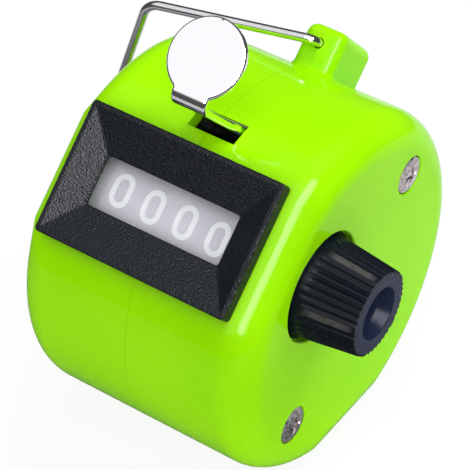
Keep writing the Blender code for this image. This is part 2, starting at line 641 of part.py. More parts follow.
def make_wheel(name, x, has_gear, has_carry):
    rim_half = (WHEEL_PITCH - RIM_GAP) / 2
    hub_half = (WHEEL_PITCH - HUB_GAP) / 2
    bore = SHAFT_RADIUS + RUNNING_GAP
    rim_inner = WHEEL_RADIUS - RIM_WALL
    hub_right = RATCHET_X + RATCHET_THICKNESS - x if name == "units_wheel" else hub_half
    gear_tip = GEAR_PITCH_RADIUS - TOOTH_ADDENDUM
    gear_right = WEB_HALF + GEAR_WIDTH
    profile = [(x - rim_half, WHEEL_RADIUS), (x + rim_half, WHEEL_RADIUS), (x + rim_half, rim_inner)]
    if has_gear:
        profile += [(x + gear_right, rim_inner), (x + gear_right, gear_tip), (x + WEB_HALF, gear_tip)]
    else:
        profile += [(x + WEB_HALF, rim_inner)]
    profile += [(x + WEB_HALF, HUB_RADIUS), (x + hub_right, HUB_RADIUS), (x + hub_right, bore),
                (x - hub_half, bore), (x - hub_half, HUB_RADIUS), (x - WEB_HALF, HUB_RADIUS),
                (x - WEB_HALF, rim_inner), (x - rim_half, rim_inner)]
    pivot = (x, AXIS_N, 0)
    wheel = add_piece(name, turned(profile, (AXIS_N, 0), WHEEL_STEPS), GREY, pivot)
    if has_gear:
        gaps = tooth_outline(GEAR_TEETH, GEAR_PITCH_RADIUS + TOOTH_DEDENDUM, gear_tip - CLEARANCE,
                             GEAR_GAP_FLOOR_SHARE, GEAR_GAP_SHARE, (AXIS_N, 0), pi / GEAR_TEETH)
        cutter = prism(0, gaps, x + WEB_HALF, x + gear_right + CUT_OVERRUN)
        cut(wheel, add_piece(f"{name}_gear_cut", cutter, TOOL))
    if has_carry:
        outer = rim_inner + RIM_WALL / 2
        inner = rim_inner - CARRY_STUB_DEPTH
        stubs = []
        for k in range(CARRY_STUBS):
            middle = 2 * pi * (k - 1 / 2) / GEAR_TEETH
            half = pi * STUB_SHARE / GEAR_TEETH
            corners = [(outer, -half), (inner, -half / 2), (inner, half / 2), (outer, half)]
            outline = [(AXIS_N + r * cos(middle + a), r * sin(middle + a)) for r, a in corners]
            stubs.append(prism(0, outline, x - WEB_HALF - GEAR_WIDTH, x - WEB_HALF / 2))
        fuse(wheel, add_piece(f"{name}_stubs", join_meshes(stubs), TOOL))
    shade_round(wheel)


def make_pinion_and_carrier(name, x_left):
    """The carry pinion between two wheels and the plate that holds it. x_left is the driven wheel."""
    middle = x_left + WHEEL_PITCH / 2
    low = x_left + WEB_HALF + CLEARANCE
    high = x_left + WHEEL_PITCH - WEB_HALF - CLEARANCE
    half_plate = CARRIER_THICKNESS / 2
    centre = (PINION_N, 0)
    root = PINION_PITCH_RADIUS - TOOTH_DEDENDUM
    teeth = tooth_outline(PINION_TEETH, PINION_TIP_RADIUS, root, PINION_TIP_SHARE, PINION_ROOT_SHARE, centre,
                          pi + pi / PINION_TEETH)
    pinion = add_piece(f"{name}_pinion", prism(0, teeth, low, high), WHITE, (middle, *centre))
    waist = ring(PINION_JOURNAL, PINION_TIP_RADIUS + CUT_OVERRUN, middle - half_plate - CLEARANCE,
                 middle + half_plate + CLEARANCE, centre)
    cut(pinion, add_piece(f"{name}_waist", waist, TOOL))
    inner_n = AXIS_N - WHEEL_RADIUS + RIM_WALL + CARRY_STUB_DEPTH
    hub = HUB_RADIUS + RIM_WALL
    body = [(AXIS_N + hub, -hub / 2), (AXIS_N + hub, hub / 2), (AXIS_N + hub / 2, hub), (AXIS_N - hub / 2, hub),
            (PINION_N, CARRIER_HALF_WIDTH), (inner_n + RIM_WALL, CARRIER_HALF_WIDTH),
            (inner_n + RIM_WALL, -CARRIER_HALF_WIDTH), (PINION_N, -CARRIER_HALF_WIDTH),
            (AXIS_N - hub / 2, -hub), (AXIS_N + hub / 2, -hub)]
    carrier = add_piece(f"{name}_carrier", prism(0, body, middle - half_plate, middle + half_plate), STEEL)
    tab_end = REAR_SPACER_N - SPACER_RADIUS - RIM_WALL
    tab_half = CARRIER_TAB_THICKNESS / 2
    tab = [(inner_n + 2 * RIM_WALL, -CARRIER_TAB_HALF), (inner_n + 2 * RIM_WALL, CARRIER_TAB_HALF),
           (REAR_SPACER_N + SPACER_RADIUS, CARRIER_TAB_HALF), (REAR_SPACER_N, 2 * SPACER_RADIUS),
           (tab_end, SPACER_RADIUS), (tab_end, -SPACER_RADIUS), (REAR_SPACER_N, -2 * SPACER_RADIUS),
           (REAR_SPACER_N + SPACER_RADIUS, -CARRIER_TAB_HALF)]
    fuse(carrier, add_piece(f"{name}_tab", prism(0, tab, middle - tab_half, middle + tab_half), TOOL))
    reach = WHEEL_PITCH / 2
    holes = [rod(SHAFT_RADIUS + CLEARANCE, middle - reach, middle + reach, (AXIS_N, 0)),
             rod(PINION_JOURNAL + RUNNING_GAP, middle - reach, middle + reach, centre),
             rod(SPACER_RADIUS + CLEARANCE, middle - reach, middle + reach, (REAR_SPACER_N, 0))]
    cut(carrier, add_piece(f"{name}_holes", join_meshes(holes), TOOL))


def make_ratchet():
    outline = []
    pitch = 2 * pi / RATCHET_TEETH
    root = RATCHET_RADIUS - RATCHET_DEPTH
    for k in range(RATCHET_TEETH):
        for turn_share, height_share in RATCHET_TOOTH_SHARES:
            angle = pitch * (k + turn_share)
            radius = root + RATCHET_DEPTH * height_share
            outline.append((AXIS_N + radius * cos(angle), radius * sin(angle)))
    x0 = RATCHET_X + SEAT_GAP
    toothed = prism(0, outline, x0, RATCHET_X + RATCHET_THICKNESS)
    wheel = add_piece("ratchet_wheel", toothed, BRASS, (x0, AXIS_N, 0))
    bore = rod(HUB_RADIUS + CLEARANCE, x0 - CUT_OVERRUN, x0 + RATCHET_THICKNESS + CUT_OVERRUN, (AXIS_N, 0))
    cut(wheel, add_piece("ratchet_bore", bore, TOOL))


def pawl_outline(pivot, aim):
    """A pawl from its round boss to a tip that stands just clear of the ratchet's teeth."""
    dn, db = AXIS_N - aim[0], -aim[1]
    length = hypot(dn, db)
    gap = RATCHET_RADIUS + 2 * CLEARANCE
    tip = (AXIS_N - dn / length * gap, -db / length * gap)
    along = (tip[0] - pivot[0], tip[1] - pivot[1])
    size = hypot(*along)
    along = (along[0] / size, along[1] / size)
    across = (-along[1], along[0])
    start = atan2(across[1], across[0])
    outline = [(pivot[0] + PAWL_BOSS * cos(start + pi * k / 8), pivot[1] + PAWL_BOSS * sin(start + pi * k / 8))
               for k in range(9)]
    shift = (tip[0] - PAWL_BOSS / 2 * along[0], tip[1] - PAWL_BOSS / 2 * along[1])
    side = 1 if (shift[0] - AXIS_N) * across[0] + shift[1] * across[1] > 0 else -1
    far = (shift[0] + side * across[0] * PAWL_BOSS / 2, shift[1] + side * across[1] * PAWL_BOSS / 2)
    ends = [shift, tip, far] if side > 0 else [far, tip, shift]
    return outline + ends


def hairpin(pivot, x_from, x_to, first, second, leg):
    """One turn of wire round a pin with a straight leg at each end."""
    steps = 12
    points = []
    for k in range(steps + 1):
        angle = first + (second - first + 2 * pi) * k / steps
        x = x_from + (x_to - x_from) * k / steps
        points.append((x, pivot[0] + PAWL_COIL_RADIUS * cos(angle), pivot[1] + PAWL_COIL_RADIUS * sin(angle)))
    def leg_end(point, angle, sign):
        return (point[0], point[1] - sign * leg * sin(angle), point[2] + sign * leg * cos(angle))
    start = leg_end(points[0], first, -1)
    end = leg_end(points[-1], second, 1)
    return tube([start] + points + [end], PAWL_WIRE_RADIUS, 6)


def make_pawl(name, pivot, aim, pin_end):
    x0 = RATCHET_X + RATCHET_THICKNESS - PAWL_THICKNESS
    x1 = RATCHET_X + RATCHET_THICKNESS
    pawl = add_piece(name, prism(0, pawl_outline(pivot, aim), x0, x1), STEEL, (x0, *pivot))
    hole = rod(PAWL_PIN_RADIUS + RUNNING_GAP, x0 - CUT_OVERRUN, x1 + CUT_OVERRUN, pivot)
    cut(pawl, add_piece(f"{name}_hole", hole, TOOL))
    pin = rod_steps([(x0 - 2 * SEAT_GAP, PAWL_PIN_RADIUS), (pin_end, PAWL_PIN_RADIUS)], pivot)
    add_piece(f"{name}_pin", pin, STEEL)
    reach = atan2(aim[1] - pivot[1], aim[0] - pivot[0])
    low = x1 + PAWL_WIRE_RADIUS + SEAT_GAP / 2
    high = x1 + PAWL_GAP - PAWL_WIRE_RADIUS - SEAT_GAP / 2
    spring = hairpin(pivot, low, high, reach + pi / 2, reach + pi, PAWL_BOSS)
    add_piece(f"{name}_spring", spring, SPRING)


def make_shaft():
    x_end = HALF_WIDTH - KNOB_SINK + SHAFT_IN_KNOB
    shaft = rod_steps([(-SHAFT_LEFT, SHAFT_RADIUS), (x_end, SHAFT_RADIUS)], (AXIS_N, 0))
    add_piece("reset_shaft", shaft, STEEL, (0, AXIS_N, 0))
    bore = SHAFT_RADIUS + CLEARANCE
    clip_x = LEFT_FRAME_X - FRAME_THICKNESS - SEAT_GAP
    add_piece("shaft_clip", ring(bore, CLIP_RADIUS, clip_x - CLIP_THICKNESS, clip_x, (AXIS_N, 0)), STEEL,
              (0, AXIS_N, 0))
    hub_left = WHEEL_X[0] - (WHEEL_PITCH - HUB_GAP) / 2
    add_piece("left_thrust_washer",
              ring(bore, WASHER_RADIUS, LEFT_FRAME_X + SEAT_GAP, hub_left - SEAT_GAP, (AXIS_N, 0)), STEEL)
    right_low = RATCHET_X + RATCHET_THICKNESS + SEAT_GAP
    right_high = RIGHT_FRAME_X - FRAME_THICKNESS - SEAT_GAP
    add_piece("right_thrust_washer", ring(bore, WASHER_RADIUS, right_low, right_high, (AXIS_N, 0)), STEEL)


def make_frame():
    outline = [(REACH * n, REACH * b) for n, b in FRAME_OUTLINE_SHARES]
    for half in (-PLATE_NOTCH_HALF, PLATE_NOTCH_HALF):
        outline.append((SCREW_N + (BOSS_RADIUS + PLATE_BOSS_GAP) * SPACER_WAY[0] + half * SPACER_WAY[1],
                        -SCREW_B + (BOSS_RADIUS + PLATE_BOSS_GAP) * SPACER_WAY[1] - half * SPACER_WAY[0]))
    upper = (UPPER_SPACER_N, UPPER_SPACER_B)
    lower = (REACH * LOWER_SPACER_SHARES[0], REACH * LOWER_SPACER_SHARES[1])
    spacers = {"rear_spacer": (REAR_SPACER_N, 0), "upper_spacer": upper, "lower_spacer": lower}
    holes = [((AXIS_N, 0), SHAFT_RADIUS), ((PIVOT_N, PIVOT_B), LEVER_PIN_RADIUS)]
    holes += [(centre, TENON_RADIUS) for centre in spacers.values()]
    holes += [(centre, POST_TIP_RADIUS) for centre in post_places()]
    plates = {"left_frame_plate": (LEFT_FRAME_X - FRAME_THICKNESS, LEFT_FRAME_X),
              "right_frame_plate": (RIGHT_FRAME_X - FRAME_THICKNESS, RIGHT_FRAME_X)}
    for name, (x0, x1) in plates.items():
        plate = add_piece(name, prism(0, outline, x0, x1), STEEL)
        bores = list(holes)
        if name == "right_frame_plate":
            bores.append((holding_pawl_place(), PAWL_PIN_RADIUS))
        rods = [rod(size + RUNNING_GAP, x0 - CUT_OVERRUN, x1 + CUT_OVERRUN, centre) for centre, size in bores]
        cut(plate, add_piece(f"{name}_holes", join_meshes(rods), TOOL))
    left, right = LEFT_FRAME_X + SEAT_GAP, RIGHT_FRAME_X - FRAME_THICKNESS - SEAT_GAP
    ends = FRAME_THICKNESS + 2 * SEAT_GAP
    for name, centre in spacers.items():
        sizes = [(left - ends, TENON_RADIUS), (left, TENON_RADIUS), (left, SPACER_RADIUS),
                 (right, SPACER_RADIUS), (right, TENON_RADIUS), (right + ends, TENON_RADIUS)]
        add_piece(name, rod_steps(sizes, centre), STEEL)


def holding_pawl_place():
    return REACH * HOLDING_PAWL_SHARES[0], REACH * HOLDING_PAWL_SHARES[1]


# Thumb lever

def lever_sheet():
    """The round thumb plate, its neck, the bend and the arm, as one bent sheet."""
    top = THUMB_N + SHEET / 2
    bottom = THUMB_N - SHEET / 2
    neck_left = NECK_SHIFT - NECK_HALF
    neck_right = NECK_SHIFT + NECK_HALF
    bend_n = top - BEND_RADIUS
    bend_b = ARM_B - BEND_RADIUS
    inner = BEND_RADIUS - SHEET
    shoulder_n = SLOT_N + SHEET
    sections = []
    for k in range(1, THUMB_STEPS):
        turn = pi * k / THUMB_STEPS
        b = -THUMB_B - THUMB_RADIUS * cos(turn)
        half = THUMB_RADIUS * sin(turn)
        if b < bend_b:
            lower = b > -THUMB_B
            left = min(-half, neck_left) if lower else -half
            right = max(half, neck_right) if lower else half
            sections.append((left, right, (top, b), (bottom, b)))
    for k in range(FILLET_STEPS + 1):
        turn = pi / 2 * k / FILLET_STEPS
        outside = (bend_n + BEND_RADIUS * cos(turn), bend_b + BEND_RADIUS * sin(turn))
        inside = (bend_n + inner * cos(turn), bend_b + inner * sin(turn))
        sections.append((neck_left, neck_right, outside, inside))
    for k in range(1, FLARE_STEPS + 1):
        share = k / FLARE_STEPS
        n = bend_n + (shoulder_n - bend_n) * share
        left = neck_left + (ARM_LEFT_X - neck_left) * share ** 2
        right = neck_right + (ARM_RIGHT_X - neck_right) * share ** 2
        sections.append((left, right, (n, ARM_B), (n, ARM_B - SHEET)))
    end_n = PIVOT_N + EYE_RADIUS / 3
    sections.append((ARM_LEFT_X, ARM_RIGHT_X, (end_n, ARM_B), (end_n, ARM_B - SHEET)))
    return loft([[(left, *outside), (right, *outside), (right, *inside), (left, *inside)]
                 for left, right, outside, inside in sections])


def make_lever():
    pivot = (0, PIVOT_N, PIVOT_B)
    lever = add_piece("thumb_lever", lever_sheet(), CHROME, pivot)
    side_x = SIDE_ARM_X + SIDE_ARM_THICKNESS
    eye = rod(EYE_RADIUS, ARM_LEFT_X, side_x, (PIVOT_N, PIVOT_B))
    along = Vector((PAWL_N - PIVOT_N, PAWL_B - PIVOT_B)).normalized()
    across = Vector((-along.y, along.x))
    start = atan2(across.y, across.x)
    outline = []
    ends = ((PIVOT_N, PIVOT_B, EYE_RADIUS, start), (PAWL_N, PAWL_B, SIDE_ARM_HALF, start + pi))
    for n, b, radius, turn in ends:
        turns = [turn + pi * k / 10 for k in range(11)]
        outline += [(n + radius * cos(a), b + radius * sin(a)) for a in turns]
    side_arm = prism(0, outline, SIDE_ARM_X, side_x)
    fuse(lever, add_piece("lever_eye", eye, TOOL), add_piece("lever_side_arm", side_arm, TOOL))
    far = side_x + CUT_OVERRUN
    bores = [rod(LEVER_PIN_RADIUS + RUNNING_GAP, ARM_LEFT_X - CUT_OVERRUN, far, (PIVOT_N, PIVOT_B)),
             rod(PAWL_PIN_RADIUS + RUNNING_GAP, SIDE_ARM_X - CUT_OVERRUN, far, (PAWL_N, PAWL_B))]
    cut(lever, add_piece("lever_bores", join_meshes(bores), TOOL))
    shade_round(lever)
    pin_left = LEFT_FRAME_X - FRAME_THICKNESS - 2 * SEAT_GAP
    pin_right = RIGHT_FRAME_X + 2 * SEAT_GAP
    add_piece("lever_pin", rod_steps([(pin_left, LEVER_PIN_RADIUS), (pin_right, LEVER_PIN_RADIUS)],
                                     (PIVOT_N, PIVOT_B)), STEEL)
    make_lever_spring()


def make_lever_spring():
    """Torsion spring on the lever's pin: one leg under the upper spacer, one beside the lever's arm."""
    per_turn = 10
    count = SPRING_TURNS * per_turn
    right = ARM_LEFT_X - SPRING_PITCH
    coils = []
    for k in range(count + 1):
        angle = pi / 2 + 2 * pi * k / per_turn
        coils.append((right - SPRING_PITCH * k / per_turn, PIVOT_N + SPRING_COIL_RADIUS * cos(angle),
                      PIVOT_B + SPRING_COIL_RADIUS * sin(angle)))
    first, last = coils[0], coils[-1]
    lead = (first[0], first[1] + SPRING_LEG, first[2])
    tail = (last[0], UPPER_SPACER_N - SPACER_RADIUS,
            UPPER_SPACER_B + SPACER_RADIUS + SPRING_WIRE_RADIUS + SEAT_GAP)
    add_piece("lever_spring", tube([lead] + coils + [tail], SPRING_WIRE_RADIUS, 6), SPRING)


# Knob, screws and wire loop

def make_knob():
    base = HALF_WIDTH - KNOB_SINK
    bore = SHAFT_RADIUS + SEAT_GAP
    bore_end = base + SHAFT_IN_KNOB + SEAT_GAP
    dish = KNOB_TIP_X - KNOB_DISH_DEPTH
    hollow = KNOB_FLANGE_RADIUS - KNOB_BASE_RADIUS
    profile = [(bore_end, 0), (bore_end, bore), (base, bore), (base, KNOB_FLANGE_RADIUS),
               (base + KNOB_FLANGE_EDGE, KNOB_FLANGE_RADIUS),
               ((2 * base + KNOB_FLANGE_EDGE + KNOB_FLANGE_RISE) / 2, KNOB_BASE_RADIUS + hollow / 3),
               (base + KNOB_FLANGE_RISE, KNOB_BASE_RADIUS),
               (KNOB_TIP_X - KNOB_CHAMFER, KNOB_TIP_RADIUS), (KNOB_TIP_X, KNOB_TIP_RADIUS - KNOB_CHAMFER),
               (KNOB_TIP_X, KNOB_DISH_RADIUS), (dish, KNOB_DISH_FLOOR), (dish, 0)]
    knob = add_piece("reset_knob", turned(profile, (AXIS_N, 0), 2 * ROUND_STEPS, False), BLACK, (0, AXIS_N, 0))
    shade_round(knob)


def make_screws():
    head_top = HALF_WIDTH - SCREW_HEAD_SINK
    head_low = head_top - SCREW_HEAD_HEIGHT
    for name, sign in (("case_screw_upper", -1), ("case_screw_lower", 1)):
        centre = (SCREW_N, sign * SCREW_B)
        body = rod_steps([(-SCREW_END, SCREW_RADIUS), (head_low, SCREW_RADIUS), (head_low, SCREW_HEAD_RADIUS),
                          (head_top, SCREW_HEAD_RADIUS)], centre)
        screw = add_piece(name, body, NICKEL)
        half, wide = CROSS_LENGTH / 2, CROSS_WIDTH / 2
        cross = [(half, -wide), (half, wide), (wide, wide), (wide, half), (-wide, half), (-wide, wide),
                 (-half, wide), (-half, -wide), (-wide, -wide), (-wide, -half), (wide, -half), (wide, -wide)]
        slant = cos(pi / 4)
        turned_cross = [(centre[0] + (n - b) * slant, centre[1] + (n + b) * slant) for n, b in cross]
        recess = prism(0, turned_cross, head_top - CROSS_DEPTH, head_top + CUT_OVERRUN)
        cut(screw, add_piece(f"{name}_cross", recess, TOOL))


def make_finger_loop():
    hole_b = -LUG_HOLE_B
    front_n = LUG_FRONT_N + WIRE_STANDOFF
    corner = (-LOOP_REACH, front_n - WIRE_RADIUS, hole_b + LOOP_DROP)
    leg = tuple(place + DRUM_RADIUS * share for place, share in zip(corner, LOOP_LEG_SHARES))
    back = tuple(DRUM_RADIUS * share for share in LOOP_BACK_SHARES)
    rear = (0, -DRUM_RADIUS * LOOP_REAR_SHARE, hole_b)
    corners = [(0, WIRE_END_GAP, hole_b), (0, front_n, hole_b), corner, leg, back, rear,
               (0, -WIRE_END_GAP, hole_b)]
    bends = [LOOP_TIGHT_BEND, LOOP_BEND, 2 * LOOP_BEND, 2 * LOOP_BEND, LOOP_BEND]
    path = rounded_path(corners, bends)
    loop = add_piece("finger_loop", tube(path, WIRE_RADIUS), CHROME, (0, 0, hole_b))
    shade_round(loop)


clear_scene()
DRUM = make_drum_frame()
TOOL = finish("tool", (0.5, 0.5, 0.5), 0.5)
GREEN = finish("green_gloss_plastic", (0.30, 0.78, 0.01), 0.22)
BLACK = finish("black_plastic", (0.012, 0.013, 0.015), 0.5)
CLEAR = finish("clear_plastic", (0.9, 0.92, 0.92), 0.05)
GREY = finish("grey_plastic", (0.45, 0.44, 0.47), 0.5)
WHITE = finish("pinion_plastic", (0.75, 0.75, 0.72), 0.5)
CHROME = finish("bright_chrome", (0.85, 0.85, 0.87), 0.08, 1.0)
STEEL = finish("plain_steel", (0.55, 0.55, 0.56), 0.35, 1.0)
NICKEL = finish("nickel", (0.70, 0.67, 0.62), 0.25, 1.0)
BRASS = finish("brass", (0.70, 0.52, 0.22), 0.3, 1.0)
SPRING = finish("spring_steel", (0.45, 0.45, 0.46), 0.3, 1.0)

make_left_shell()
make_right_shell()
make_bezel()
for index, wheel_name in enumerate(WHEEL_NAMES):
    is_units = wheel_name == "units"
    make_wheel(f"{wheel_name}_wheel", WHEEL_X[index], not is_units, wheel_name != "thousands")
    if not is_units:
        make_pinion_and_carrier(wheel_name, WHEEL_X[index])
make_ratchet()
side_arm_end = SIDE_ARM_X + SIDE_ARM_THICKNESS + 2 * SEAT_GAP
make_pawl("drive_pawl", (PAWL_N, PAWL_B), (AXIS_N - RATCHET_RADIUS, 0), side_arm_end)
make_pawl("holding_pawl", holding_pawl_place(), (AXIS_N, RATCHET_RADIUS), RIGHT_FRAME_X + 2 * SEAT_GAP)
make_shaft()
make_frame()
make_lever()
make_knob()
make_screws()
make_finger_loop()
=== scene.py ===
# The look of the hand tally counter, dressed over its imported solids.
# Shapes are written in millimetres in the drum's own frame (x, n, b) and put in place at the end:
# x along the drum towards the knob, n out of the number window, b down along the window.

from math import acos, atan2, cos, hypot, pi, radians, sin, sqrt

import bmesh
import bpy
from mathutils import Matrix, Vector


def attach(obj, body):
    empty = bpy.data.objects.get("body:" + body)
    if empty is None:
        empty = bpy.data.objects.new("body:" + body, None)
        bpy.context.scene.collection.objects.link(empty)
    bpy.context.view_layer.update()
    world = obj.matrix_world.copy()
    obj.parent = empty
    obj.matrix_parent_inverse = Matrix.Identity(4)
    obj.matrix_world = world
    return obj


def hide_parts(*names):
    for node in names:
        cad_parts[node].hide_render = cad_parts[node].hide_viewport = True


MM = 0.001
QUARTER = tuple(pi / 2 * k / 6 for k in range(7))  # the angles of a rounded edge

# Camera
CAMERA_PLACE = (0.1190, -0.1710, 0.2117)
CAMERA_VIEW = (-0.4257, 0.6087, -0.6695)
LENS_MM = 179.0
SENSOR_MM = 36.0

# Drum housing
WINDOW_TILT = radians(47.5)
DRUM_RADIUS = 23.0
HALF_WIDTH = 16.4
WALL = 1.8
END_FILLET = 4.2
FRONT_FLAT_N = 22.3
FRONT_FLAT_HALF = 7.6
FOOT_CHORD_HALF = 7.0
SEAM_X = 0.1
SEAM_GAP = 0.03
LIP_INSET = 1.1
LIP_LENGTH = 1.2
LIP_ROOM_LENGTH = 3.0
LIP_ROOM_B = 4.1
PLAY = 0.15
BORE_PLAY = 0.2
HOLE_START_X = 14.0
CUT_REACH_N = 24.0
FOOT_DISTANCE = sqrt(DRUM_RADIUS ** 2 - FOOT_CHORD_HALF ** 2)
FOOT_ANGLE = atan2(cos(WINDOW_TILT), -sin(WINDOW_TILT))

# Lug for the wire
LUG_SIDES = (-2.55, 2.95)
LUG_FRONT_N = 4.0
LUG_BACK_N = -5.8
LUG_TOP_B = -28.4
LUG_FOOT_B = -22.5
LUG_ROOT_B = -21.5
LUG_HOLE_B = -26.1
LUG_HOLE_RADIUS = 0.7
LUG_HOLE_REACH = 7.0
LUG_TOP_ROUND = 1.25
LUG_CORNER = 1.45
LUG_FOOT_ROUND = 0.9

# Bezel and window
BEZEL_HALF_LENGTH = 13.13
BEZEL_HALF_HEIGHT = 8.2
BEZEL_MIDDLE_B = -0.35
BEZEL_BASE_N = 22.4
BEZEL_TOP_N = 24.15
BEZEL_RIM = 0.5
BEZEL_DISH = 1.35
BEZEL_EDGE = 0.15
BEZEL_LIP = 0.45
OPENING_HALF_LENGTH = 9.12
OPENING_HALF_HEIGHT = 3.05
SPIGOT_WALL = 1.2
SPIGOT_LEDGE = 0.2
SPIGOT_END_N = 20.8
WINDOW_HOLE_N = 19.0

# Number wheels
AXIS_N = 10.4
WHEEL_PITCH = 4.5
WHEEL_RIM_WIDTH = 4.49
WHEEL_SKIN_RADIUS = 10.02
WHEEL_NAMES = ("thousands", "hundreds", "tens", "units")
WHEEL_X = tuple(WHEEL_PITCH * (k - 1.5) for k in range(4))
RIM_INNER_RADIUS = 9.2
DIGIT_HEIGHT = 4.15
DIGIT_WIDTH = 2.66
DIGIT_STROKE = 0.66
DIGIT_INK = 0.03
LONGEST_DIGIT_EDGE = 0.8
FIGURE_RISE = (0.33, 0.14, 0.12, -0.05)
FIGURE_SHIFT = -0.1
BLIND_ENDS = (-10.9, -9.01)
BLIND_RADIUS = 9.85
BLIND_THICKNESS = 0.3
BLIND_HALF_ANGLE = radians(21)

# Thumb lever
PIVOT_N = 13.493
PIVOT_B = -13.306
EYE_RADIUS = 1.7
EYE_BORE = 0.98
PAWL_BORE = 0.78
SHEET = 1.0
LEVER_EDGE = 0.36
THUMB_N = 28.0
THUMB_B = -17.5
THUMB_RADIUS = 4.82
THUMB_X = -0.12
NECK_SIDES = (-2.35, 2.33)
ARM_SIDES = (-2.45, 3.35)
SIDE_ARM_X = (10.5, 11.2)
SIDE_ARM_HALF = 1.5
PAWL_PIVOT = (2.599, -5.506)
ARM_B = PIVOT_B + EYE_RADIUS
BEND_RADIUS = 1.6
SLOT_PLAY = 0.3
SLOT_TOP_B = ARM_B - SHEET - SLOT_PLAY
SLOT_BOTTOM_B = -10.3
SLOT_N = sqrt(DRUM_RADIUS ** 2 - ARM_B ** 2)

# Knob
KNOB_BASE_X = 15.4
KNOB_TIP_X = 24.0
KNOB_FLANGE_RADIUS = 6.7
KNOB_CONE_X = 16.3
KNOB_CONE_RADIUS = 6.24
KNOB_TIP_RADIUS = 5.3
KNOB_LANDS = 5
FLUTES_PER_LAND = 7
FLUTE_DEPTH = 0.24
FLUTE_STEPS = 8
FLUTE_SHARPNESS = 0.75
CONE_STEPS = 18
WELD = 0.004
FLUTE_START_X = 16.9
FLUTE_FULL_X = 17.6
LAND_ANGLE = radians(-38.8)
NEAR_AXIS = 0.02
POCKET_RADIUS = 6.9
POCKET_FLOOR_X = 15.3
DISH_RADIUS = 3.3
DISH_DEPTH = 1.7
DISH_FLOOR_RADIUS = 2.3
SHAFT_RADIUS = 1.5
SHAFT_SOCKET = (4.6, 1.6)
CUP_ENDS = (14.2, 15.6)
CUP_WALL = 1.0
POCKET_CHAMFER = 0.14
# Where the painted grey highlight on the knob's lands fades in at the foot and out at the tip.
LAND_HIGHLIGHT_FOOT_X = (17.2, 18.6)
LAND_HIGHLIGHT_TIP_X = (22.8, 23.8)
# Inside this radius the knob's tip face and dish are painted with a bluish reflection.
FACE_REFLECTION_EDGE = (4.9, 5.1)

# Screws
SCREW_N = 0.6
SCREW_B = 16.2
SCREW_HEAD_RADIUS = 2.36
SCREW_TOP_X = 16.15
SCREW_DOME = 0.55
SCREW_HEAD_HEIGHT = 0.85
SCREW_EDGE = 0.12
CROSS_LENGTH = 2.6
CROSS_WIDTH = 0.55
CROSS_DEPTH = 0.6
CROSS_NARROWING = 0.72
CROSS_TURN = radians(38)
SCREW_RADIUS = 1.25
SCREW_END_X = -11.0
SEAT_FLOOR_X = 15.2
SEAT_PLAY = 0.1

# Wire loop
WIRE_RADIUS = 0.6
WIRE_SIDES = 20
LOOP_CORNERS = ((0, 0.6, -26.1), (0, 5.4, -26.1), (-22.95, 4.9, -22.4), (-32.1, -15.7, -1.5),
                (-4.0, -30.0, -5.0), (0, -8.3, -26.1), (0, -0.6, -26.1))
LOOP_BENDS = (1.2, 2.9, 4.4, 4.4, 2.2)

# Light
ROOM_LIGHT = 0.40
WALL_LIGHT = 0.075
CEILING_WAY = (-0.2, -0.35, 0.915)
CEILING_EDGE = (0.62, 0.78)
FLOOR_WHITE = 0.9
FLOOR_HALF = 0.13
FLOOR_SHADE = (-0.005, 0.03)
FLOOR_FRONT = (-0.025, -0.055)
FLOOR_MIRRORED = (0.75, 0.4)
LAMP_TARGET = (0, 0, 0.03)

# From the drum's frame in millimetres to the scene in metres
PLACE = (Matrix.Translation((0, 0, FOOT_DISTANCE * MM)) @ Matrix.Rotation(pi - WINDOW_TILT, 4, "X")
         @ Matrix.Scale(MM, 4))


# Node expressions

def join(value, socket):
    """Links a socket to another node's value, or sets it."""
    if isinstance(value, Value):
        socket.id_data.links.new(value.socket, socket)
    else:
        socket.default_value = value


class Value:
    """A node's output that can be used in Python sums."""

    def __init__(self, socket):
        self.socket = socket

    def maths(self, operation, other, swap=False):
        node = self.socket.id_data.nodes.new("ShaderNodeMath")
        node.operation = operation
        first, second = (other, self) if swap else (self, other)
        join(first, node.inputs[0])
        join(second, node.inputs[1])
        return Value(node.outputs[0])

    def __add__(self, other):
        return self.maths("ADD", other)

    def __mul__(self, other):
        return self.maths("MULTIPLY", other)

    def __sub__(self, other):
        return self.maths("SUBTRACT", other)

    def __rsub__(self, other):
        return self.maths("SUBTRACT", other, True)

    def power(self, other):
        return self.maths("POWER", other)

    __radd__ = __add__
    __rmul__ = __mul__


class Graph:
    """A node tree that is written as expressions on its sockets."""

    def __init__(self, tree):
        self.tree = tree

    def node(self, kind, settings=None, numbered=None, **named):
        """A node with its settings first, then its inputs by number or by name. Returns its outputs."""
        node = self.tree.nodes.new(kind)
        for key, value in (settings or {}).items():
            setattr(node, key, value)
        for number, value in (numbered or {}).items():
            join(value, node.inputs[number])
        for name, value in named.items():
            join(value, node.inputs[name.replace("_", " ")])
        return {output.name: Value(output) for output in node.outputs if output.enabled}

    def range(self, value, low, high, to_low, to_high):
        return self.node("ShaderNodeMapRange", Value=value, From_Min=low, From_Max=high,
                         To_Min=to_low, To_Max=to_high)["Result"]

    def blend(self, share, first, second, output):
        """Shows the first shader, and the second by its share."""
        mixed = self.node("ShaderNodeMixShader", None, {0: share, 1: first, 2: second})["Shader"]
        join(mixed, self.tree.nodes[output].inputs[0])


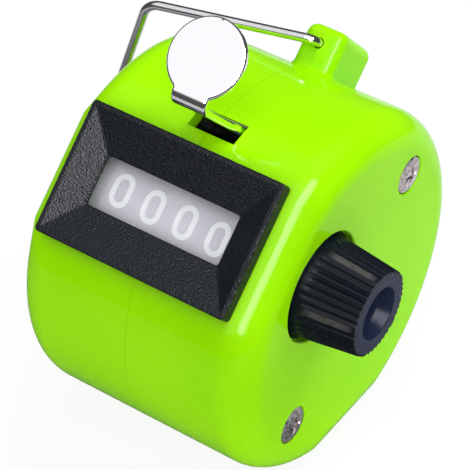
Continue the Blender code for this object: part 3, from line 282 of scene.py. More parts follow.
class Finish(Graph):
    """One material, with a noise pattern on each thing that varies."""

    def __init__(self, name, colour, roughness, metallic=0.0, **fixed):
        self.material = bpy.data.materials.new(name)
        self.material.use_nodes = True
        super().__init__(self.material.node_tree)
        self.shader = self.tree.nodes["Principled BSDF"]
        self.put("Base Color", (*colour, 1))
        self.put("Roughness", roughness)
        self.put("Metallic", metallic)
        for socket, value in fixed.items():
            self.put(socket.replace("_", " "), value)
        self.place = self.node("ShaderNodeTexCoord")["Object"]

    def put(self, socket, value):
        join(value, self.shader.inputs[socket])

    def noise(self, size_mm, detail=2.0, stretch=None):
        """Noise whose features are about size_mm across, 0 to 1."""
        place = self.place
        if stretch:
            place = self.node("ShaderNodeMapping", Vector=place, Rotation=(pi - WINDOW_TILT, 0, 0),
                              Scale=stretch)["Vector"]
        return self.node("ShaderNodeTexNoise", Vector=place, Scale=1 / (size_mm * MM), Detail=detail)["Fac"]

    def speckle(self, size_mm):
        """Distance from scattered points, 0 at each point."""
        return self.node("ShaderNodeTexVoronoi", Vector=self.place, Scale=1 / (size_mm * MM))["Distance"]

    def mix(self, share, first, second):
        """The first colour, and the second by its share."""
        colours = [colour if isinstance(colour, Value) else (*colour, 1) for colour in (first, second)]
        ends = {0: share, 6: colours[0], 7: colours[1]}
        return self.node("ShaderNodeMix", {"data_type": "RGBA"}, ends)["Result"]

    def varied(self, socket, pattern, low, high, first, second):
        """Lets a socket go from first to second where the pattern goes from low to high."""
        if isinstance(first, tuple):
            self.put(socket, self.mix(self.range(pattern, low, high, 0, 1), first, second))
        else:
            self.put(socket, self.range(pattern, low, high, first, second))

    def bump(self, height, depth_mm):
        self.put("Normal", self.node("ShaderNodeBump", Height=height, Distance=depth_mm * MM)["Normal"])


def green_plastic():
    """Glossy lime plastic with a barely uneven moulded skin."""
    look = Finish("lime_green_plastic", (0.30, 0.76, 0.0), 0.12, Specular_IOR_Level=0.1)
    look.varied("Base Color", look.noise(14, 1), 0.35, 0.65, (0.285, 0.735, 0.0), (0.315, 0.765, 0.001))
    look.varied("Roughness", look.noise(3), 0.3, 0.7, 0.09, 0.15)
    look.bump(look.noise(1.6, 1), 0.006)
    return look.material


def grained_black():
    """Black plastic with the fine raised grain of a moulded frame."""
    look = Finish("grained_black_plastic", (0.006, 0.008, 0.012), 0.36, Specular_IOR_Level=0.2)
    grain = look.noise(0.2, 3)
    pits = look.speckle(0.26)
    look.varied("Base Color", grain, 0.45, 0.75, (0.0015, 0.003, 0.005), (0.009, 0.013, 0.022))
    look.varied("Roughness", grain, 0.3, 0.7, 0.46, 0.24)
    look.bump(grain * 0.7 + look.range(pits, 0, 0.6, 0, 0.5), 0.1)
    return look.material


def knob_black():
    """Black plastic, with a painted bluish reflection on its face and in its dish, and painted grey
    highlight bands on the plain lands between the flutes.
    """
    look = Finish("knob_black_plastic", (0.004, 0.006, 0.010), 0.3, Specular_IOR_Level=0.3, IOR=1.26)
    drum = look.node("ShaderNodeMapping", {"vector_type": "TEXTURE"}, Vector=look.place,
                     Location=(0, 0, FOOT_DISTANCE * MM), Rotation=(pi - WINDOW_TILT, 0, 0))["Vector"]
    along = look.node("ShaderNodeSeparateXYZ", Vector=drum)
    rise = along["Y"] - AXIS_N * MM
    turn = along["Z"].maths("ARCTAN2", rise)
    radius = (rise * rise + along["Z"] * along["Z"]).power(0.5)
    pitches = KNOB_LANDS * (FLUTES_PER_LAND + 1)
    row = (turn - LAND_ANGLE) * (pitches / (2 * pi)) + (pitches + 0.5)
    row = row.maths("FLOORED_MODULO", pitches / KNOB_LANDS)
    land = look.range(row, 0.9, 1.0, 1, 0) * look.range(row, 0.0, 0.1, 0, 1)
    foot = look.range(along["X"], LAND_HIGHLIGHT_FOOT_X[0] * MM, LAND_HIGHLIGHT_FOOT_X[1] * MM, 0, 1)
    tip = look.range(along["X"], LAND_HIGHLIGHT_TIP_X[0] * MM, LAND_HIGHLIGHT_TIP_X[1] * MM, 1, 0)
    outside = look.range(radius, DISH_RADIUS * MM, (DISH_RADIUS + 1) * MM, 0, 1)
    # Painted highlight: the plain lands are painted lighter grey, as bands of reflected light, ragged by
    # noise and fading at foot and tip.
    painted_land_highlight = land * foot * tip * outside * look.range(look.noise(0.9, 3), 0.3, 0.6, 0.5, 1)
    plain = look.mix(look.noise(1.2), (0.003, 0.005, 0.009), (0.006, 0.008, 0.013))
    # Painted reflection: the tip face and the dish are painted bluish, as a bluish light mirrored in them.
    face = look.range(radius, FACE_REFLECTION_EDGE[0] * MM, FACE_REFLECTION_EDGE[1] * MM, 1, 0)
    plain = look.mix(face, plain, (0.010, 0.017, 0.044))
    look.put("Base Color", look.mix(painted_land_highlight, plain, (0.062, 0.060, 0.060)))
    look.varied("Roughness", look.noise(0.8), 0.3, 0.7, 0.22, 0.34)
    look.bump(look.noise(0.3), 0.006)
    return look.material


def wheel_grey():
    look = Finish("wheel_grey_plastic", (0.42, 0.40, 0.44), 0.55)
    look.varied("Base Color", look.noise(5), 0.3, 0.7, (0.58, 0.57, 0.645), (0.67, 0.66, 0.725))
    look.bump(look.noise(0.3), 0.01)
    return look.material


def digit_white():
    look = Finish("digit_white_paint", (0.9, 0.9, 0.92), 0.5)
    look.put("Base Color", look.mix(look.noise(0.5), (0.92, 0.94, 0.99), (0.97, 0.98, 1.0)))
    return look.material


def polished(name, colour, roughness):
    """Bright plated metal with faint handling marks."""
    look = Finish(name, colour, roughness, 1.0)
    look.varied("Roughness", look.noise(0.6, 3), 0.35, 0.75, roughness * 0.7, roughness * 1.7)
    look.bump(look.noise(4, 1), 0.01)
    return look.material


def brushed(name, colour, roughness):
    """Plain metal with fine lines along the drum."""
    look = Finish(name, colour, roughness, 1.0)
    lines = look.noise(0.4, 2, (0.08, 1, 1))
    dull, bright = [tuple(min(1, c * share) for c in colour) for share in (0.85, 1.1)]
    look.put("Base Color", look.mix(lines, dull, bright))
    look.varied("Roughness", lines, 0.3, 0.7, roughness * 0.8, roughness * 1.3)
    look.bump(lines, 0.006)
    return look.material


def moulded(name, colour, roughness):
    look = Finish(name, colour, roughness)
    look.varied("Roughness", look.noise(1.0), 0.3, 0.7, roughness * 0.85, roughness * 1.15)
    look.bump(look.noise(0.5), 0.01)
    return look.material


def screw_nickel():
    """Nickel plate with the mottled look of a driven screw."""
    look = Finish("nickel_plate", (0.45, 0.42, 0.45), 0.3, 1.0)
    stains = look.noise(0.5, 4)
    look.varied("Base Color", stains, 0.4, 0.6, (0.36, 0.32, 0.33), (0.76, 0.71, 0.73))
    look.varied("Roughness", stains, 0.3, 0.7, 0.22, 0.42)
    look.bump(look.noise(0.7, 2), 0.05)
    return look.material


def clear_pane():
    look = Finish("clear_pane", (0.95, 0.97, 0.97), 0.04, Alpha=0.05, Specular_IOR_Level=0.2)
    look.varied("Roughness", look.noise(1.5), 0.3, 0.7, 0.03, 0.09)
    return look.material


# Shapes

def loft(rings, closed=True):
    """A solid through rings that all have the same number of points."""
    bm = bmesh.new()
    rows = [[bm.verts.new(point) for point in ring] for ring in rings]
    count = len(rows[0])
    for low, high in zip(rows, rows[1:]):
        for k in range(count):
            bm.faces.new((low[k], low[(k + 1) % count], high[(k + 1) % count], high[k]))
    if closed:
        bm.faces.new(rows[0])
        bm.faces.new(rows[-1])
    return bm


def prism(axis, outline, low, high):
    """An outline carried along x (0), n (1) or b (2). It is given in the other two, in order."""
    def place(u, v, w):
        return ((w, u, v), (u, w, v), (u, v, w))[axis]
    return loft([[place(u, v, w) for u, v in outline] for w in (low, high)])


def box(x0, x1, n0, n1, b0, b1):
    return prism(0, [(n0, b0), (n1, b0), (n1, b1), (n0, b1)], x0, x1)


def round_points(middle, radius, steps):
    """Points all round a circle."""
    turns = [2 * pi * k / steps for k in range(steps)]
    return [(middle[0] + radius * cos(a), middle[1] + radius * sin(a)) for a in turns]


def turned(profile, centre, steps, closed=False):
    """(x, radius) points turned round a line along x. A radius of 0 is a point on that line."""
    bm = bmesh.new()
    rows = []
    for x, radius in profile:
        around = round_points(centre, radius, steps if radius else 1)
        rows.append([bm.verts.new((x, n, b)) for n, b in around])
    pairs = list(zip(rows, rows[1:])) + ([(rows[-1], rows[0])] if closed else [])
    for low, high in pairs:
        for k in range(steps):
            j = (k + 1) % steps
            corners = [low[0]] if len(low) == 1 else [low[k], low[j]]
            corners += [high[0]] if len(high) == 1 else [high[j], high[k]]
            bm.faces.new(corners)
    return bm


def rod(profile, centre, steps=64):
    return turned([(profile[0][0], 0)] + list(profile) + [(profile[-1][0], 0)], centre, steps)


def rounded_path(corners, bends):
    """The corners joined by straight runs, each inner corner as an arc of its bend's radius."""
    step = radians(9)
    points = [Vector(p) for p in corners]
    path = [points[0]]
    for before, corner, after, bend in zip(points, points[1:], points[2:], bends):
        back = (before - corner).normalized()
        on = (after - corner).normalized()
        turn = pi - back.angle(on)
        tangent = bend * sin(turn / 2) / cos(turn / 2)
        centre = corner + (back + on).normalized() * (bend / cos(turn / 2))
        first = corner + back * tangent - centre
        normal = first.cross(corner + on * tangent - centre).normalized()
        count = max(3, int(turn / step) + 1)
        for k in range(count + 1):
            path.append(centre + Matrix.Rotation(turn * k / count, 3, normal) @ first)
    path.append(points[-1])
    return path


def linked(name, data):
    """A new object in the scene."""
    thing = bpy.data.objects.new(name, data)
    bpy.context.scene.collection.objects.link(thing)
    return thing


def plain_mesh(thing):
    """A mesh of the object as its modifiers leave it."""
    return bpy.data.meshes.new_from_object(thing.evaluated_get(bpy.context.evaluated_depsgraph_get()))


def as_object(name, bm):
    bmesh.ops.recalc_face_normals(bm, faces=bm.faces)
    mesh = bpy.data.meshes.new(name)
    bm.to_mesh(mesh)
    bm.free()
    return linked(name, mesh)


def bake(piece):
    """Turns the piece's modifiers into its plain mesh."""
    shape = plain_mesh(piece)
    piece.modifiers.clear()
    piece.data = shape
    return piece


def mended(piece, gap, close=False):
    """Joins points that lie together, closes holes if asked to and turns the faces outwards."""
    bm = bmesh.new()
    bm.from_mesh(piece.data)
    bmesh.ops.remove_doubles(bm, verts=bm.verts, dist=gap)
    if close:
        bmesh.ops.holes_fill(bm, edges=[e for e in bm.edges if len(e.link_faces) < 2], sides=0)
    bmesh.ops.recalc_face_normals(bm, faces=bm.faces)
    bm.to_mesh(piece.data)
    bm.free()
    return piece


class Recipe(Graph):
    """A Geometry Nodes tree with one input of its own. Its result becomes a plain mesh."""

    def __init__(self, name, title, kind):
        super().__init__(bpy.data.node_groups.new(name, "GeometryNodeTree"))
        sockets = self.tree.interface
        sockets.new_socket("Geometry", in_out="INPUT", socket_type="NodeSocketGeometry")
        self.own = sockets.new_socket(title, in_out="INPUT", socket_type=kind)
        sockets.new_socket("Geometry", in_out="OUTPUT", socket_type="NodeSocketGeometry")
        self.given = self.node("NodeGroupInput")[title]

    def piece(self, name, geometry, material, value):
        """The coated result as a piece, made with value for the tree's own input."""
        coated = self.node("GeometryNodeSetMaterial", Geometry=geometry, Material=material)["Geometry"]
        self.node("NodeGroupOutput", Geometry=coated)
        piece = linked(name, bpy.data.meshes.new(name))
        modifier = piece.modifiers.new("shape", "NODES")
        modifier.node_group = self.tree
        modifier[self.own.identifier] = value
        bpy.context.view_layer.update()
        return bake(piece)


def shaped(name, base, add=(), cut=()):
    """The base solid with some solids added and others cut away."""
    piece = as_object(name, base)
    tools = []
    for operation, solids in (("UNION", add), ("DIFFERENCE", cut)):
        for solid in solids:
            tool = as_object(f"{name}_tool", solid)
            tools.append(tool)
            step = piece.modifiers.new("step", "BOOLEAN")
            step.operation = operation
            step.solver = "EXACT"
            step.object = tool
    bake(piece)
    for tool in tools:
        bpy.data.objects.remove(tool)
    return piece


def eased(piece, width):
    """Takes off the piece's sharp edges."""
    bevel = piece.modifiers.new("edges", "BEVEL")
    bevel.width = width
    bevel.segments = 1
    bevel.limit_method = "ANGLE"
    bevel.angle_limit = radians(40)
    bevel.use_clamp_overlap = True
    return bake(piece)


def dressed(piece, material, body, node=None, smooth=radians(32)):
    """Puts a finished piece in place, on its body, standing for its CAD node."""
    piece.data.shade_smooth()
    piece.data.set_sharp_from_angle(angle=smooth)
    even = piece.modifiers.new("normals", "WEIGHTED_NORMAL")
    even.keep_sharp = True
    even.weight = 100
    bake(piece)
    piece.data.transform(PLACE)
    piece.data.materials.clear()
    piece.data.materials.append(material)
    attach(piece, body)
    if node:
        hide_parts(node)


# Housing

def drum_outline(inset):
    """The drum's section, moved in by inset: round, with a flat for the bezel and one to stand on."""
    lower, upper = 44, 90
    radius = DRUM_RADIUS - inset
    flat_n = FRONT_FLAT_N - inset
    flat_b = FRONT_FLAT_HALF - inset / 2
    meet = atan2(flat_b, flat_n) + acos(min(1, radius / hypot(flat_n, flat_b)))
    foot_half = acos((FOOT_DISTANCE - inset) / radius)
    start = FOOT_ANGLE + foot_half
    angles = [meet + (FOOT_ANGLE - foot_half - meet) * k / lower for k in range(lower + 1)]
    angles += [start + (2 * pi - meet - start) * k / upper for k in range(upper + 1)]
    return [(flat_n, flat_b)] + [(radius * cos(a), radius * sin(a)) for a in angles] + [(flat_n, -flat_b)]


def drum_half(side, start, inset, end, fillet, steps=14):
    """Half of the drum on side -1 or 1, from start to its rounded end."""
    sections = [(start, 0)]
    for k in range(steps + 1):
        angle = pi / 2 * k / steps
        sections.append((side * (end - fillet + fillet * sin(angle)), fillet * (1 - cos(angle))))
    return loft([[(x, n, b) for n, b in drum_outline(inset + extra)] for x, extra in sections])


def lug_half(side, start):
    """Half of the lug over the wire's hole: flared at its foot, with soft corners and a soft top."""
    outer = LUG_SIDES[side > 0]

    def section(b, out):
        """One height of the lug, with its walls moved out by a little."""
        radius = LUG_CORNER + out
        front_n, back_n = LUG_FRONT_N + out, LUG_BACK_N - out
        middle_x = outer + side * (out - radius)
        front = [(middle_x + side * radius * sin(a), front_n - radius + radius * cos(a), b) for a in QUARTER]
        back = [(middle_x + side * radius * cos(a), back_n + radius - radius * sin(a), b) for a in QUARTER]
        return [(start, front_n, b)] + front + back + [(start, back_n, b)]

    sections = [section(LUG_ROOT_B, LUG_FOOT_ROUND)]
    for k in range(6):
        a = pi / 2 * k / 5
        sections.append(section(LUG_FOOT_B - LUG_FOOT_ROUND * (1 - cos(a)), LUG_FOOT_ROUND * (1 - sin(a))))
    for a in QUARTER:
        sections.append(section(LUG_TOP_B + LUG_TOP_ROUND * (1 - sin(a)), -LUG_TOP_ROUND * (1 - cos(a))))
    return loft(sections)


def front_openings():
    """What is cut from both halves: the window, the lever's slot and the wire's hole."""
    spigot_x = OPENING_HALF_LENGTH + SPIGOT_WALL + PLAY
    spigot_b = OPENING_HALF_HEIGHT + SPIGOT_WALL + PLAY
    window = box(-spigot_x, spigot_x, WINDOW_HOLE_N, CUT_REACH_N,
                 BEZEL_MIDDLE_B - spigot_b, BEZEL_MIDDLE_B + spigot_b)
    slot = box(ARM_SIDES[0] - SLOT_PLAY, ARM_SIDES[1] + SLOT_PLAY, PIVOT_N, CUT_REACH_N,
               SLOT_TOP_B, SLOT_BOTTOM_B)
    hole = prism(1, round_points((0, LUG_HOLE_B), LUG_HOLE_RADIUS, 24), -LUG_HOLE_REACH, LUG_HOLE_REACH)
    return [window, slot, hole]


def left_housing(material):
    """The half with the lip that the other one is pushed over."""
    start = SEAM_X - SEAM_GAP / 2
    outline = drum_outline(LIP_INSET + PLAY)
    lip = loft([[(x, n, b) for n, b in outline] for x in (start - 1, start + LIP_LENGTH)])
    hollow = drum_half(-1, start + LIP_ROOM_LENGTH, WALL, HALF_WIDTH - WALL, END_FILLET - WALL, 5)
    lip_room = box(start, start + LIP_ROOM_LENGTH, PIVOT_N, DRUM_RADIUS, SLOT_TOP_B, LIP_ROOM_B)
    left = shaped("left_shell_skin", drum_half(-1, start, 0, HALF_WIDTH, END_FILLET),
                  [lip, lug_half(-1, start)], [hollow, lip_room] + front_openings())
    dressed(left, material, "housing", "left_shell")


def stepped_hole(bore, floor_x, radius, chamfer, centre, steps):
    """A hole in the right end: a bore up to floor_x, then wider, with a chamfered rim."""
    return rod([(HOLE_START_X, bore), (floor_x, bore), (floor_x, radius), (HALF_WIDTH - chamfer, radius),
                (HALF_WIDTH, radius + chamfer), (HALF_WIDTH + 1, radius + chamfer)], centre, steps)


def right_housing(material):
    """The half with the knob's pocket and the screw seats. It is hollowed before the cup that
    stands behind the pocket goes in."""
    start = SEAM_X + SEAM_GAP / 2
    hollow = drum_half(1, start - 1, WALL, HALF_WIDTH - WALL, END_FILLET - WALL, 5)
    holes = [stepped_hole(SHAFT_RADIUS + BORE_PLAY, POCKET_FLOOR_X, POCKET_RADIUS, POCKET_CHAMFER,
                          (AXIS_N, 0), 96)]
    for sign in (-1, 1):
        holes.append(stepped_hole(SCREW_RADIUS + BORE_PLAY, SEAT_FLOOR_X, SCREW_HEAD_RADIUS + SEAT_PLAY,
                                  SEAT_PLAY, (SCREW_N, sign * SCREW_B), 48))
    cup = prism(0, round_points((AXIS_N, 0), POCKET_RADIUS + CUP_WALL, 72), *CUP_ENDS)
    right = shaped("right_shell_skin", drum_half(1, start, 0, HALF_WIDTH, END_FILLET),
                   [lug_half(1, start)], [hollow])
    hollowed = bmesh.new()
    hollowed.from_mesh(right.data)
    bpy.data.objects.remove(right)
    right = shaped("right_shell_skin", hollowed, [cup], holes + front_openings())
    dressed(right, material, "housing", "right_shell")


# Bezel

def rectangle(half_x, half_b, n, round_by):
    """A rectangle round the window, with corners rounded by a little."""
    points = []
    for sx, sb, start in ((1, 1, 0), (-1, 1, pi / 2), (-1, -1, pi), (1, -1, 3 * pi / 2)):
        for k in range(4):
            a = start + pi / 2 * k / 3
            points.append((sx * (half_x - round_by) + round_by * cos(a), n,
                           BEZEL_MIDDLE_B + sb * (half_b - round_by) + round_by * sin(a)))
    return points


def window_frame(material):
    """The bezel as rings from its outer foot over the rim, down the dish and round the spigot behind it."""
    edge, top_n, rim = BEZEL_EDGE, BEZEL_TOP_N, BEZEL_RIM
    dish_n = top_n - BEZEL_DISH
    lip_n = dish_n - BEZEL_LIP
    spigot_inner = SPIGOT_WALL - SPIGOT_LEDGE

    def outer(inset, n, round_by):
        return rectangle(BEZEL_HALF_LENGTH - inset, BEZEL_HALF_HEIGHT - inset, n, round_by)

    def inner(out, n, round_by):
        return rectangle(OPENING_HALF_LENGTH + out, OPENING_HALF_HEIGHT + out, n, round_by)

    rings = [
        outer(0, BEZEL_BASE_N, 0.5), outer(0, top_n - edge, 0.5), outer(edge / 2, top_n - edge / 3, 0.45),
        outer(edge, top_n, 0.4), outer(rim, top_n, 0.2), outer(rim + edge, top_n - edge / 2, 0.15),
        inner(edge, dish_n + 0.02, 0.3), inner(0, dish_n - edge, 0.3), inner(0, lip_n, 0.3),
        inner(spigot_inner, lip_n, 0.1), inner(spigot_inner, SPIGOT_END_N, 0.1),
        inner(SPIGOT_WALL, SPIGOT_END_N, 0.1), inner(SPIGOT_WALL, BEZEL_BASE_N, 0.1),
    ]
    piece = mended(as_object("window_frame", loft(rings + rings[:1], False)), 1e-5)
    dressed(piece, material, "housing", "window_bezel", radians(25))


# Number wheels

def stadium(half_width, half_height):
    """A straight-sided oval."""
    steps = 12
    turns = [pi * k / steps for k in range(steps + 1)]
    upper = [(half_width * cos(a), half_height - half_width + half_width * sin(a)) for a in turns]
    return upper + [(-x, -y) for x, y in upper]


def zero_mesh():
    """A straight-sided nought, DIGIT_HEIGHT tall and centred."""
    bm = bmesh.new()
    half_x, half_y = DIGIT_WIDTH / 2, DIGIT_HEIGHT / 2
    rings = []
    for z in (-1, 1):
        for inset in (0, DIGIT_STROKE):
            outline = stadium(half_x - inset, half_y - inset)
            rings.append([bm.verts.new((x, y, z)) for x, y in outline])
    low_outer, low_inner, high_outer, high_inner = rings
    round_trip = (low_outer, low_inner, high_inner, high_outer, low_outer)
    for first, second in zip(round_trip, round_trip[1:]):
        for k in range(len(first)):
            j = (k + 1) % len(first)
            bm.faces.new((first[k], first[j], second[j], second[k]))
    return bm


def digit_mesh(text):
    """A figure as a thin plate, DIGIT_HEIGHT tall and centred."""
    if text == "0":
        return zero_mesh()
    curve = bpy.data.curves.new("figure", "FONT")
    curve.body = text
    curve.extrude = 0.01
    curve.offset = 0.02
    curve.resolution_u = 8
    holder = linked("figure", curve)
    bpy.context.view_layer.update()
    mesh = plain_mesh(holder)
    bpy.data.objects.remove(holder)
    low = [min(v.co[k] for v in mesh.vertices) for k in range(2)]
    high = [max(v.co[k] for v in mesh.vertices) for k in range(2)]
    tall = DIGIT_HEIGHT / (high[1] - low[1])
    wide = min(tall * 1.05, DIGIT_WIDTH / (high[0] - low[0]))
    for v in mesh.vertices:
        v.co = ((v.co.x - (low[0] + high[0]) / 2) * wide, (v.co.y - (low[1] + high[1]) / 2) * tall,
                1.0 if v.co.z > 0 else -1.0)
    bm = bmesh.new()
    bm.from_mesh(mesh)
    bpy.data.meshes.remove(mesh)
    return bm


def bendable(bm):
    """Cuts long edges of a flat figure, so that it can follow the wheel's round rim."""
    bmesh.ops.triangulate(bm, faces=bm.faces)
    for _ in range(3):
        long_edges = [e for e in bm.edges if e.calc_length() > LONGEST_DIGIT_EDGE
                      and abs(e.verts[0].co.z - e.verts[1].co.z) < 1]
        if not long_edges:
            break
        bmesh.ops.subdivide_edges(bm, edges=long_edges, cuts=1)
        bmesh.ops.triangulate(bm, faces=bm.faces)
    return bm


def number_wheels(grey, white):
    """A grey rim round each solid wheel, with the figures 0 to 9 bent onto it."""
    figures = [bendable(digit_mesh(str(k))) for k in range(10)]
    rim = WHEEL_RIM_WIDTH / 2
    for name, x, rise in zip(WHEEL_NAMES, WHEEL_X, FIGURE_RISE):
        profile = [(x - rim, RIM_INNER_RADIUS), (x - rim, WHEEL_SKIN_RADIUS),
                   (x + rim, WHEEL_SKIN_RADIUS), (x + rim, RIM_INNER_RADIUS)]
        band = as_object(f"{name}_wheel_band", turned(profile, (AXIS_N, 0), 120, True))
        dressed(band, grey, name, None)
        whole = bmesh.new()
        for k, figure in enumerate(figures):
            piece = bpy.data.meshes.new("figure")
            figure.to_mesh(piece)
            for v in piece.vertices:
                angle = -2 * pi * k / 10 - (v.co.y + rise) / WHEEL_SKIN_RADIUS
                radius = WHEEL_SKIN_RADIUS + (DIGIT_INK if v.co.z > 0 else -DIGIT_INK)
                v.co = (x + v.co.x + FIGURE_SHIFT, AXIS_N + radius * cos(angle), radius * sin(angle))
            whole.from_mesh(piece)
            bpy.data.meshes.remove(piece)
        dressed(as_object(f"{name}_wheel_figures", whole), white, name, None)


def left_blind(grey):
    """The curved grey strip that closes the gap beside the leftmost wheel."""
    turns = [BLIND_HALF_ANGLE * (k / 8 - 1) for k in range(17)]
    outline = [(AXIS_N + BLIND_RADIUS * cos(a), BLIND_RADIUS * sin(a)) for a in turns]
    inner = BLIND_RADIUS - BLIND_THICKNESS
    outline += [(AXIS_N + inner * cos(a), inner * sin(a)) for a in reversed(turns)]
    dressed(as_object("left_blind", prism(0, outline, *BLIND_ENDS)), grey, "housing", None)


# Thumb lever

def lever_sheet():
    """The thumb plate, neck, bend and arm as one bent sheet with rolled edges."""
    thumb_steps, bend_steps, flare_steps, edge_steps = 110, 12, 8, 5
    top = THUMB_N + SHEET / 2
    neck_left, neck_right = NECK_SIDES
    bend_n, bend_b = top - BEND_RADIUS, ARM_B - BEND_RADIUS
    turns = [pi / 2 * k / edge_steps for k in range(edge_steps + 1)]
    upper = [(LEVER_EDGE * (1 - sin(a)), LEVER_EDGE * (1 - cos(a))) for a in reversed(turns)]
    levels = upper + [(SHEET - depth, inset) for depth, inset in reversed(upper)]

    def section(place):
        """A ring round the sheet. place gives left, right, n and b for a depth and an inset."""
        ring = [place(depth, inset) for depth, inset in levels]
        left_side = [(left, n, b) for left, right, n, b in ring]
        return left_side + [(right, n, b) for left, right, n, b in reversed(ring)]

    def plate(turn):
        def place(depth, inset):
            radius = THUMB_RADIUS - inset
            half = radius * sin(turn)
            lower = turn > pi / 2
            left = min(THUMB_X - half, neck_left + inset) if lower else THUMB_X - half
            right = max(THUMB_X + half, neck_right - inset) if lower else THUMB_X + half
            return left, right, top - depth, THUMB_B - radius * cos(turn)
        return section(place)

    def bend(turn):
        def place(depth, inset):
            radius = BEND_RADIUS - depth
            return (neck_left + inset, neck_right - inset,
                    bend_n + radius * cos(turn), bend_b + radius * sin(turn))
        return section(place)

    def arm(n, share):
        left = neck_left + (ARM_SIDES[0] - neck_left) * share ** 2
        right = neck_right + (ARM_SIDES[1] - neck_right) * share ** 2
        return section(lambda depth, inset: (left + inset, right - inset, n, ARM_B - depth))

    last = acos((THUMB_B - bend_b) / THUMB_RADIUS) - 0.02
    sections = [plate(0.02 + (last - 0.02) * k / thumb_steps) for k in range(thumb_steps + 1)]
    sections += [bend(pi / 2 * k / bend_steps) for k in range(bend_steps + 1)]
    shoulder = SLOT_N + SHEET
    for k in range(1, flare_steps + 1):
        sections.append(arm(bend_n + (shoulder - bend_n) * k / flare_steps, k / flare_steps))
    sections.append(arm(PIVOT_N + EYE_RADIUS / 3, 1))
    return loft(sections)


def thumb_lever(material):
    """The bent sheet with its rolled eye and the side arm that carries the drive pawl."""
    pivot = (PIVOT_N, PIVOT_B)
    eye = rod([(ARM_SIDES[0], EYE_RADIUS), (SIDE_ARM_X[1], EYE_RADIUS)], pivot, 40)
    way = atan2(PAWL_PIVOT[1] - PIVOT_B, PAWL_PIVOT[0] - PIVOT_N)
    outline = []
    round_ends = ((pivot, EYE_RADIUS, way + pi / 2), (PAWL_PIVOT, SIDE_ARM_HALF, way - pi / 2))
    for (n, b), radius, start in round_ends:
        for k in range(13):
            a = start + pi * k / 12
            outline.append((n + radius * cos(a), b + radius * sin(a)))
    side_arm = prism(0, outline, *SIDE_ARM_X)
    bores = [rod([(ARM_SIDES[0] - 1, EYE_BORE), (SIDE_ARM_X[1] + 1, EYE_BORE)], pivot, 24),
             rod([(SIDE_ARM_X[0] - 1, PAWL_BORE), (SIDE_ARM_X[1] + 1, PAWL_BORE)], PAWL_PIVOT, 24)]
    plate = shaped("thumb_plate", lever_sheet(), [eye, side_arm], bores)
    dressed(plate, material, "lever", "thumb_lever")


# Knob

def ring_of_copies(name, copy_of, count, material):
    """Turned copies of a wedge all round the x axis, welded into one piece."""
    recipe = Recipe("ring_of_copies", "Count", "NodeSocketInt")
    line = recipe.node("GeometryNodeMeshLine", Count=recipe.given, Offset=(0, 0, 0))["Mesh"]
    turn = recipe.node("GeometryNodeInputIndex")["Index"] * recipe.given.maths("DIVIDE", 2 * pi, True)
    angles = recipe.node("ShaderNodeCombineXYZ", X=turn)["Vector"]
    source = recipe.node("GeometryNodeObjectInfo", Object=copy_of)["Geometry"]
    copies = recipe.node("GeometryNodeInstanceOnPoints", Points=line, Instance=source,
                         Rotation=angles)["Instances"]
    plain = recipe.node("GeometryNodeRealizeInstances", Geometry=copies)["Geometry"]
    welded = recipe.node("GeometryNodeMergeByDistance", Geometry=plain, Distance=WELD)["Geometry"]
    return recipe.piece(name, welded, material, count)


def knob_profile():
    """From the shaft's socket round the flange, up the cone and down into the hollow tip."""
    x0, x1 = KNOB_BASE_X, KNOB_TIP_X
    flange = KNOB_FLANGE_RADIUS
    cone_x, cone_r = KNOB_CONE_X, KNOB_CONE_RADIUS
    hollow = flange - cone_r
    socket_x, socket_radius = x0 + SHAFT_SOCKET[0], SHAFT_SOCKET[1]
    profile = [(socket_x, NEAR_AXIS), (socket_x, socket_radius), (x0, socket_radius), (x0, flange - 0.1),
               (x0 + 0.1, flange), (x0 + 0.2, flange), (x0 + 0.32, cone_r + hollow * 0.62),
               (x0 + 0.5, cone_r + hollow * 0.3), (x0 + 0.7, cone_r + hollow * 0.1)]
    slope = (KNOB_TIP_RADIUS - cone_r) / (x1 - cone_x)
    for k in range(CONE_STEPS + 1):
        x = cone_x + (x1 - 0.12 - cone_x) * k / CONE_STEPS
        profile.append((x, cone_r + slope * (x - cone_x)))
    floor_x = x1 - DISH_DEPTH
    profile += [(x1 - 0.03, KNOB_TIP_RADIUS - 0.04), (x1, KNOB_TIP_RADIUS - 0.14), (x1, DISH_RADIUS + 0.08),
                (x1 - 0.03, DISH_RADIUS + 0.02), (x1 - 0.1, DISH_RADIUS - 0.03),
                (floor_x + 0.25, DISH_FLOOR_RADIUS + 0.1), (floor_x + 0.06, DISH_FLOOR_RADIUS - 0.08),
                (floor_x, DISH_FLOOR_RADIUS - 0.35), (floor_x, NEAR_AXIS)]
    return profile


def fluted_wedge():
    """One plain land and the row of flutes after it, as an open skin."""
    pitches = FLUTES_PER_LAND + 1
    pitch = 2 * pi / (KNOB_LANDS * pitches)
    rings = []
    for x, radius in knob_profile():
        fade = min(1, max(0, (x - FLUTE_START_X) / (FLUTE_FULL_X - FLUTE_START_X)))
        depth = FLUTE_DEPTH * fade if radius > DISH_RADIUS + 1 else 0
        ring = []
        for k in range(FLUTE_STEPS * pitches + 1):
            a = LAND_ANGLE + pitch * (k / FLUTE_STEPS - 0.5)
            wave = 0.5 - 0.5 * cos(2 * pi * k / FLUTE_STEPS)
            r = radius - depth * (wave ** FLUTE_SHARPNESS if k > FLUTE_STEPS else 0)
            ring.append((x, r * cos(a), r * sin(a)))
        rings.append(ring)
    bm = bmesh.new()
    rows = [[bm.verts.new(point) for point in ring] for ring in rings]
    for low, high in zip(rows, rows[1:]):
        for k in range(FLUTE_STEPS * pitches):
            bm.faces.new((low[k], low[k + 1], high[k + 1], high[k]))
    return as_object("flute_wedge", bm)


def reset_knob(material):
    """A fluted cone with a flange at its foot and a hollow tip. A plain land follows each row of flutes."""
    wedge = fluted_wedge()
    knob = mended(ring_of_copies("knob", wedge, KNOB_LANDS, material), 0.005, True)
    bpy.data.objects.remove(wedge)
    knob.data.transform(Matrix.Translation((0, AXIS_N, 0)))
    dressed(knob, material, "reset", "reset_knob", radians(38))


# Screws and wire

